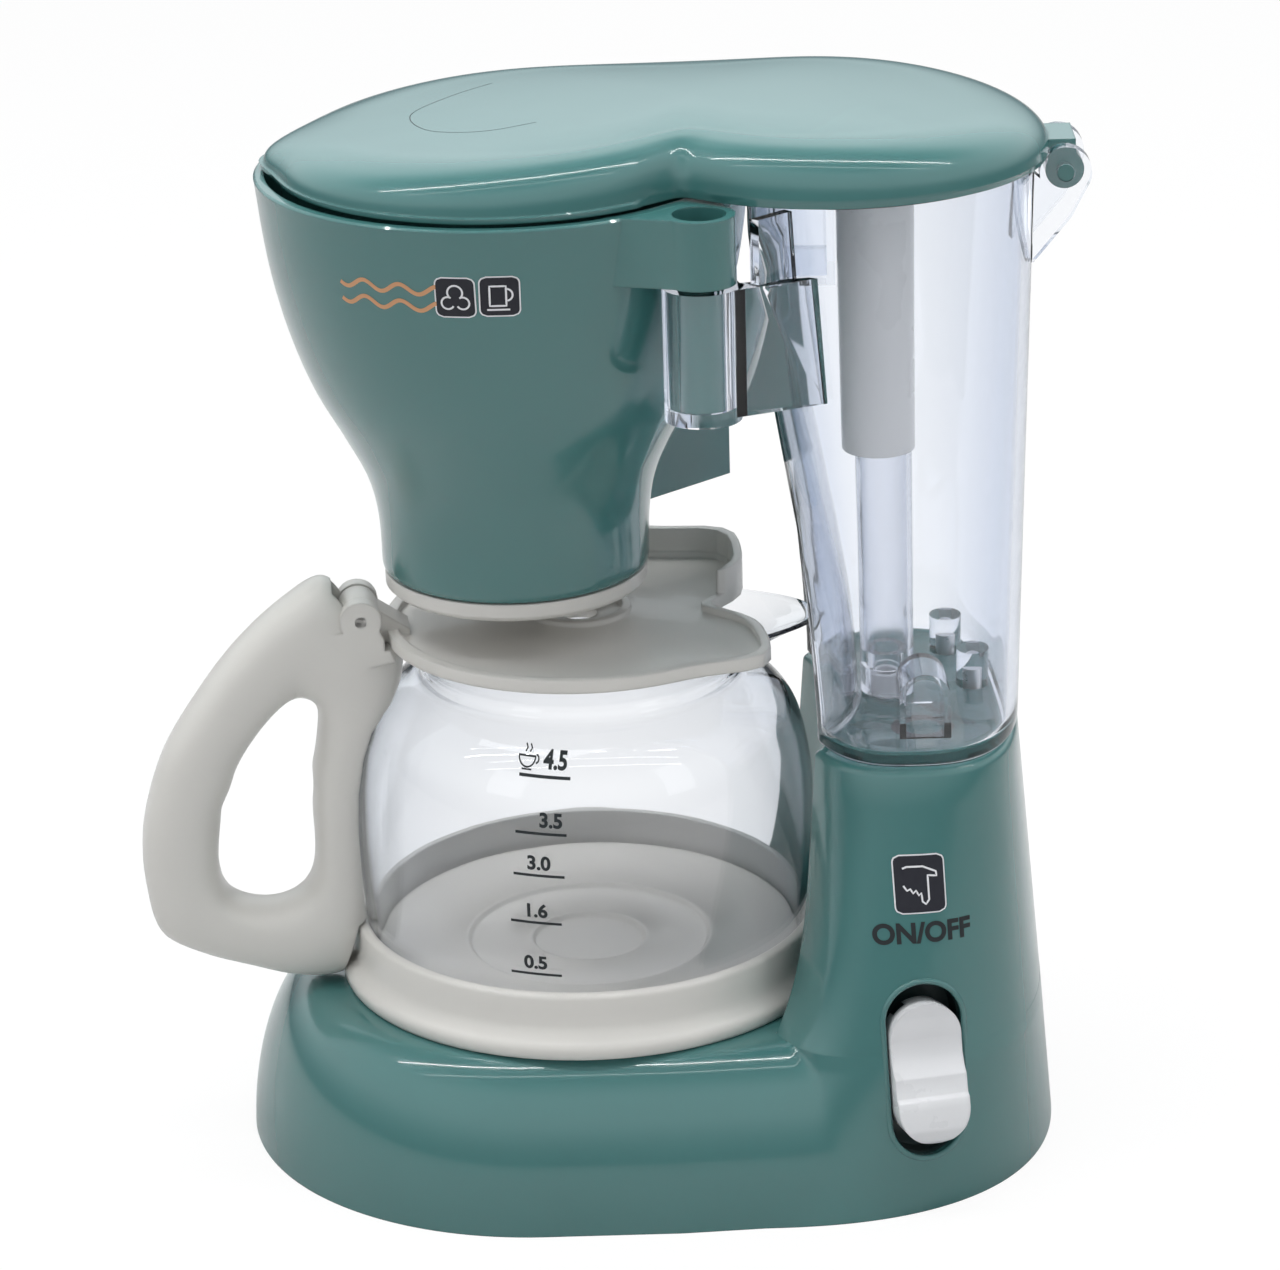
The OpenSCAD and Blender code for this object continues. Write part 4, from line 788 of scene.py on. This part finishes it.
def make_handle():
    """The handle with its two ears, cut free of the jug and of its lid."""
    hole = smooth_line([loop_point(t, near) for t, near, _ in HANDLE_LOOP], 12, closed=True)
    edge = smooth_line([loop_point(t, far) for t, _, far in HANDLE_LOOP], 12, closed=True)
    rings = []
    for a, b in zip(even_out(hole, HOLE_PASSES), even_out(edge, EDGE_PASSES)):
        out = (b - a) / np.linalg.norm(b - a)
        half = np.linalg.norm(b - a) / 2
        t = 2 * math.pi * (np.arange(32) + 0.5) / 32
        across, up = oval_points(half, HANDLE_HALF, HANDLE_SQUARE, t)
        mid = (a + b) / 2
        rings.append(np.stack([mid[0] + out[0] * across, up, mid[1] + out[1] * across], axis=1))
    handle = loft("handle_body", rings, closed=True, sharp=60)
    for side in (-1, 1):
        place = put(0, side * KNUCKLE_Y + KNUCKLE_T / 2, 0) @ turn(90, "X")
        x, z = KNUCKLE
        ear = [(x + KNUCKLE_R * math.cos(a), z + KNUCKLE_R * math.sin(a))
               for a in np.radians(np.arange(-30, 211, 12))]
        ear += [(x - 6, z - 8), (x + 6, z - 10), (x + 8, z - 2)]
        join(handle, prism("handle_ear", ear, 0, KNUCKLE_T, place))
    body = [(0.01, 0), (FOOT_R + 0.2, 0), (FOOT_R + 0.2, 2.8), (GLASS_R + 1.1, FOOT_H + 0.2)]
    body += [(r * GLASS_R + 0.4, z) for r, z in GLASS_SIDE if z > FOOT_H]
    body += [(0.7 * GLASS_R, GLASS_H), (0.01, GLASS_H)]
    cut(handle, revolve("jug_space", body))
    cut(handle, prism("lid_slot", LID_SLOT, GLASS_H - 0.1, GLASS_H + 30))
    cut(handle, prism("lid_space", LID_SPACE, GLASS_H - 0.1, GLASS_H + 3.9))
    handle.data.transform(on_jug())
    return finish_piece(handle, "carafe", cream, "carafe_handle", slot="cream")


# ---- labels ----

START_OUT, BOLDER, LINE_W, LINE_STEP = 40, 0.036, 0.34, 0.4
EDGE_LIFT, PLATE_LIFT, LINE_LIFT, MARK_LIFT = 0.05, 0.09, 0.13, 0.06
TOWER_BADGE_AT, ON_OFF_AT = (50.8, -50, 60.0), (50.8, -50, 51.2)
BAND_AT, STEAM_AT, CUP_AT = (-42.6, -42, 170.8), (-29.6, -42, 171.2), (-22.0, -42, 171.4)
BAND_X, STEAM_X, CUP_X = -41.5, -29.4, -22.1
MARK_Y, SMALL_CUP_AT = -45, (-21.9, -45, 84.1)
LABEL_R, MARK_TURN, MARK_TILT = 42.5, -8, -0.045
LEVELS = (("4.5", -18.5, 83.9, 1.8), ("3.5", -19.0, 74.4, 1.8), ("3.0", -19.5, 66.7, 0),
          ("1.6", -20.3, 57.6, 0), ("0.5", -20.7, 47.3, 0))


def arc(x, y, r, start, stop, n=16):
    """Points of a circle of radius r about x, y, from one angle to another."""
    turns = [math.radians(start + (stop - start) * k / n) for k in range(n + 1)]
    return [(x + r * math.cos(a), y + r * math.sin(a)) for a in turns]


POINTER_SIGN = [([(-2.9, 2.8), (-2.1, 3.1), (0.7, 3.1), (3.0, 2.1), (3.1, 1.3), (1.5, 1.5), (1.5, -2.8),
                  (0.9, -3.6), (0.3, -3.1), (0.2, -1.6), (-0.3, -2.0), (-0.7, -1.1), (-1.3, -1.6),
                  (-1.7, -0.8), (-2.3, -1.1), (-2.9, -0.2)], False)]
STEAM_SIGN = [(arc(0, 0.9, 1.3, -40, 220), False), (arc(-1.3, -1.0, 1.1, 60, 330), False),
              (arc(1.3, -1.0, 1.1, -150, 120), False)]
CUP_SIGN = [([(-1.7, 1.9), (1.1, 1.9), (1.1, -1.7), (-1.7, -1.7)], True),
            (arc(1.1, 0.3, 1.1, -80, 80, 10), False), ([(-2.2, -2.4), (1.7, -2.4)], False)]
SMALL_CUP = [arc(0, 0.4, 1.5, -180, 0), arc(1.5, 0.1, 0.6, -80, 80, 6), [(-1.6, 0.4), (1.6, 0.4)],
             [(-0.9, -1.4), (0.9, -1.4)], [(-0.4, 0.9), (-0.1, 1.4), (-0.4, 1.9)],
             [(0.4, 0.9), (0.7, 1.4), (0.4, 1.9)]]


def stick(name, outline_faces, origin, right, up, target, lift, material, body):
    """Lays flat outlines in millimetres onto a surface, along the direction they face."""
    right, up = Vector(right).normalized(), Vector(up).normalized()
    out = right.cross(up)
    points, faces = outline_faces
    placed = []
    for x, y in points:
        start = Vector(origin) * MM + (right * x + up * y + out * START_OUT) * MM
        hit = target.ray_cast(start, -out)[0]
        spot = hit + out * lift * MM if hit else start - out * START_OUT * MM
        placed.append((spot / MM)[:])
    piece = solid(name, placed, faces, 80)
    return finish_piece(piece, body, material)


def sheet_of(rows):
    """Points and faces of a grid given as rows of points, so that it can bend over a surface."""
    m, n = len(rows), len(rows[0])
    corners = [i * n + j for i in range(m - 1) for j in range(n - 1)]
    faces = [(c, c + 1, c + n + 1, c + n) for c in corners]
    return [p for row in rows for p in row], faces


def rounded_sheet(w, h, r):
    """A rounded rectangle filled by a grid."""
    rows, n = [], 24
    for i in range(n + 1):
        y = -h / 2 + h * i / n
        over = max(abs(y) - (h / 2 - r), 0)
        half = w / 2 - (r - math.sqrt(max(r * r - over * over, 0)))
        rows.append([(-half + 2 * half * j / n, y) for j in range(n + 1)])
    return sheet_of(rows)


def stroke(points, width, closed=False):
    """A line of even width through points, as a strip."""
    p = [np.array(q, float) for q in points]
    if closed:
        p.append(p[0])
    fine = []
    for a, b in zip(p[:-1], p[1:]):
        steps = max(1, int(np.linalg.norm(b - a) / LINE_STEP))
        fine += [a + (b - a) * k / steps for k in range(steps)]
    fine.append(p[-1])
    left, right = [], []
    for i, q in enumerate(fine):
        ahead = fine[min(i + 1, len(fine) - 1)]
        behind = fine[max(i - 1, 0)]
        if closed and i in (0, len(fine) - 1):
            ahead, behind = fine[1], fine[-2]
        d = ahead - behind
        d = d / np.linalg.norm(d)
        side = np.array([-d[1], d[0]]) * width / 2
        left.append(tuple(q + side))
        right.append(tuple(q - side))
    return sheet_of([right, left])


def lettering(text, size):
    """Letters as flat outlines, a little bolder than the plain font."""
    data = bpy.data.curves.new("letters", "FONT")
    data.body, data.size, data.align_x, data.align_y = text, size, "CENTER", "CENTER"
    data.offset, data.resolution_u = size * BOLDER, 6
    letters = bpy.data.objects.new("letters", data)
    bpy.context.collection.objects.link(letters)
    graph = bpy.context.evaluated_depsgraph_get()
    mesh = bpy.data.meshes.new_from_object(letters.evaluated_get(graph))
    points = [(v.co.x, v.co.y) for v in mesh.vertices]
    faces = [tuple(f.vertices) for f in mesh.polygons]
    bpy.data.objects.remove(letters)
    return points, faces


def front_of(angle):
    """Directions along and up a wall that faces the front, turned by an angle."""
    a = math.radians(angle)
    return (math.cos(a), math.sin(a), 0), (0, 0, 1)


def badge(name, w, h, origin, right, up, target, body, sign):
    """A dark rounded plate with a light edge, and a sign drawn on it in thin lines."""
    edge, plate = rounded_sheet(w + 0.5, h + 0.5, 1.3), rounded_sheet(w, h, 1.1)
    where = (origin, right, up, target)
    stick(name + "_edge", edge, *where, EDGE_LIFT, label_white, body)
    stick(name + "_plate", plate, *where, PLATE_LIFT, label_black, body)
    for k, (points, closed) in enumerate(sign):
        stick(f"{name}_line{k}", stroke(points, LINE_W, closed), *where, LINE_LIFT, label_white, body)


def make_tower_label(skin):
    right, up = front_of(SWITCH_TURN)
    badge("tower_badge", 8.8, 10.0, TOWER_BADGE_AT, right, up, skin, "housing", POINTER_SIGN)
    stick("on_off", lettering("ON/OFF", 4.9), ON_OFF_AT, right, up, skin, 0.08, mark_ink, "housing")


def front_of_basket(x):
    """Directions along and up the wall of the basket, at a distance x to the side."""
    return front_of(math.degrees(math.asin((x - BASKET_X) / LABEL_R)))


def make_basket_label(skin):
    right, up = front_of_basket(BAND_X)
    for k, y in enumerate((-1.5, 1.5)):
        wave = [(x, y + 0.8 * math.sin(x * 0.9)) for x in np.linspace(-10.2, 10.2, 72)]
        stick(f"band_{k}", stroke(wave, 0.75), BAND_AT, right, up, skin, 0.07, copper_ink, "basket")
    badge("steam_badge", 6.6, 6.9, STEAM_AT, *front_of_basket(STEAM_X), skin, "basket", STEAM_SIGN)
    badge("cup_badge", 6.6, 6.9, CUP_AT, *front_of_basket(CUP_X), skin, "basket", CUP_SIGN)


def make_level_marks(skin):
    """Level numbers with a short line under each, and a small cup beside the highest."""
    (ahead, aside, _), up = front_of(MARK_TURN)
    right = (ahead, aside, MARK_TILT)
    for text, x, z, shift in LEVELS:
        name = "mark_" + text.replace(".", "_")
        line = stroke([(-4.6, -2.2), (4.6, -2.2)], 0.5)
        stick(name + "_line", line, (x, MARK_Y, z), right, up, skin, MARK_LIFT, mark_ink, "carafe")
        number = lettering(text, 3.5)
        stick(name, number, (x + shift, MARK_Y, z), right, up, skin, MARK_LIFT, mark_ink, "carafe")
    for k, line in enumerate(SMALL_CUP):
        name, sheet = f"cup_line{k}", stroke(line, 0.26)
        stick(name, sheet, SMALL_CUP_AT, right, up, skin, MARK_LIFT, mark_ink, "carafe")


# ---- light, floor and backdrop ----

FLOOR_HALF, FLOOR_DROP = 3000, 0.05
FLOOR_GREY, FLOOR_GLOW, GLOW_SHARE = (0.6, 0.64), 1.06, 0.86
SKY_WHITE, SKY_COOL, SKY_LIGHT, SKY_MIRROR = (1, 1, 1, 1), (0.95, 0.97, 1.0, 1), 0.41, 1.15
SKY_HIGH, SKY_LOW, SKY_TOP = (0.90, 0.97, 1, 1), (0.16, 0.18, 0.20, 1), (0.22, 0.25, 0.27, 1)
LAMP_AIM = (0, 0, 0.1)
LAMPS = (
    ("top_box", (-0.1, 0.1, 1.1), (1.0, 0.8), 8.0, False),
    ("front_left_box", (-0.9, -1.0, 0.7), (0.5, 0.8), 2.0, False),
    ("front_right_box", (1.0, -0.8, 0.6), (0.4, 0.8), 1.5, False),
    ("edge_strip", (0, -0.1, 1.2), (2.2, 0.018), 6.0, True),
    ("low_strip", (0, -0.5, 1.1), (2.0, 0.02), 1.0, True),
)


def add_floor():
    """A wide pale floor that glows where it is seen straight on and else only takes shadows."""
    sides = ((-1, -1), (1, -1), (1, 1), (-1, 1))
    corners = [(x * FLOOR_HALF, y * FLOOR_HALF, -FLOOR_DROP) for x, y in sides]
    floor = solid("floor", corners, [(0, 1, 2, 3)])
    material, nodes, links, bsdf = shader("floor_paper")
    grain = fixed_noise(nodes, links, PAPER_SCALE)
    tint = nodes.new("ShaderNodeMix")
    tint.data_type = "RGBA"
    for slot, grey in zip((6, 7), FLOOR_GREY):
        tint.inputs[slot].default_value = (grey, grey, grey, 1)
    links.new(grain.outputs["Fac"], tint.inputs[0])
    links.new(tint.outputs[2], bsdf.inputs["Base Color"])
    bsdf.inputs["Roughness"].default_value = 0.9
    glow = nodes.new("ShaderNodeEmission")
    glow.inputs["Strength"].default_value = FLOOR_GLOW
    path = nodes.new("ShaderNodeLightPath")
    share = nodes.new("ShaderNodeMath")
    share.operation = "MAXIMUM"
    less = nodes.new("ShaderNodeMath")
    less.operation = "MULTIPLY"
    less.inputs[1].default_value = GLOW_SHARE
    blend = nodes.new("ShaderNodeMixShader")
    links.new(path.outputs["Is Camera Ray"], share.inputs[0])
    links.new(path.outputs["Is Transmission Ray"], share.inputs[1])
    links.new(share.outputs[0], less.inputs[0])
    links.new(less.outputs[0], blend.inputs[0])
    links.new(bsdf.outputs[0], blend.inputs[1])
    links.new(glow.outputs[0], blend.inputs[2])
    links.new(blend.outputs[0], nodes["Material Output"].inputs["Surface"])
    floor.data.materials.append(material)


def add_world():
    """White where it is seen, an even cool light, and a banded sky in what mirrors it."""
    world = bpy.data.worlds.new("studio")
    bpy.context.scene.world = world
    world.use_nodes = True
    nodes, links = world.node_tree.nodes, world.node_tree.links
    nodes.clear()
    path = nodes.new("ShaderNodeLightPath")
    shown = nodes.new("ShaderNodeMath")
    shown.operation = "MAXIMUM"
    links.new(path.outputs["Is Camera Ray"], shown.inputs[0])
    links.new(path.outputs["Is Transmission Ray"], shown.inputs[1])
    backdrop = nodes.new("ShaderNodeBackground")
    backdrop.inputs["Color"].default_value = SKY_WHITE
    backdrop.inputs["Strength"].default_value = 1.0
    light = nodes.new("ShaderNodeBackground")
    light.inputs["Color"].default_value = SKY_COOL
    light.inputs["Strength"].default_value = SKY_LIGHT
    mirror = nodes.new("ShaderNodeBackground")
    mirror.inputs["Strength"].default_value = SKY_MIRROR
    where = nodes.new("ShaderNodeTexCoord")
    split = nodes.new("ShaderNodeSeparateXYZ")
    ramp = nodes.new("ShaderNodeValToRGB")
    steps = ramp.color_ramp.elements
    steps[0].position, steps[0].color = 0.02, SKY_LOW
    steps[1].position, steps[1].color = 0.30, SKY_HIGH
    steps.new(0.62).color = SKY_HIGH
    steps.new(0.88).color = SKY_TOP
    links.new(where.outputs["Generated"], split.inputs[0])
    links.new(split.outputs["Z"], ramp.inputs[0])
    links.new(ramp.outputs[0], mirror.inputs["Color"])
    first, second = nodes.new("ShaderNodeMixShader"), nodes.new("ShaderNodeMixShader")
    links.new(path.outputs["Is Glossy Ray"], first.inputs[0])
    links.new(light.outputs[0], first.inputs[1])
    links.new(mirror.outputs[0], first.inputs[2])
    links.new(shown.outputs[0], second.inputs[0])
    links.new(first.outputs[0], second.inputs[1])
    links.new(backdrop.outputs[0], second.inputs[2])
    out = nodes.new("ShaderNodeOutputWorld")
    links.new(second.outputs[0], out.inputs["Surface"])


def add_lights():
    """Flat lamps aimed at the middle of the toy; only the thin strips show as reflections."""
    for name, at, size, power, mirrored in LAMPS:
        data = bpy.data.lights.new(name, "AREA")
        data.shape, data.size, data.size_y, data.energy = "RECTANGLE", size[0], size[1], power
        lamp = bpy.data.objects.new(name, data)
        lamp.location = at
        lamp.rotation_euler = (Vector(LAMP_AIM) - Vector(at)).to_track_quat("-Z", "Y").to_euler()
        lamp.visible_glossy = mirrored
        bpy.context.collection.objects.link(lamp)


# ---- all pieces ----

add_camera()
add_floor()
add_world()
add_lights()

tower_skin = make_base()
make_tank()
make_lid()
basket_skin = make_basket()
jug_skin = make_glass()
make_foot_ring()
make_handle()
make_tower_label(tower_skin)
make_basket_label(basket_skin)
make_level_marks(jug_skin)

SOFT_EDGE = {"rocker_button": 0.7, "spout_sleeve": 0.3, "carafe_lid": 0.35}
SMOOTHED = {
    "rocker_button": ("rocker", white, "white"), "intake_cover": ("housing", tank_clear, "clear"),
    "riser_tube": ("housing", tube_clear, "clear"), "spout_sleeve": ("housing", white, "white"),
    "filter_funnel": ("basket", cream, "cream"), "carafe_lid": ("carafe_lid", cream, "cream"),
    "lid_hinge_pin": ("lid", green, "green"), "carafe_lid_pin": ("carafe", steel, "steel"),
    # The switch body takes the darker copy of the green, as painted shade of its well.
    "power_switch": ("housing", painted_shade_green, "green"), "base_plate": ("housing", green, "green"),
    "battery_door": ("housing", green, "green"), "pump_housing": ("housing", white, "white"),
}
for node, (body, material, slot_name) in SMOOTHED.items():
    smoothed = copy_of(node, node + "_skin", soft=SOFT_EDGE.get(node, 0))
    finish_piece(smoothed, body, material, node, slot=slot_name)

INSIDE = {
    "base_screws": steel, "door_screw": steel, "batteries": cell_skin, "battery_contacts": brass,
    "rocker_pin": steel, "motor": steel, "pump_screws": steel, "pump_impeller": white,
    "pump_gasket": dark, "red_wire": red_skin, "black_wire": dark, "tank_screws": steel,
}
for node, material in INSIDE.items():
    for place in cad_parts[node].material_slots:
        place.material = material

bpy.context.scene.view_settings.view_transform = "Standard"
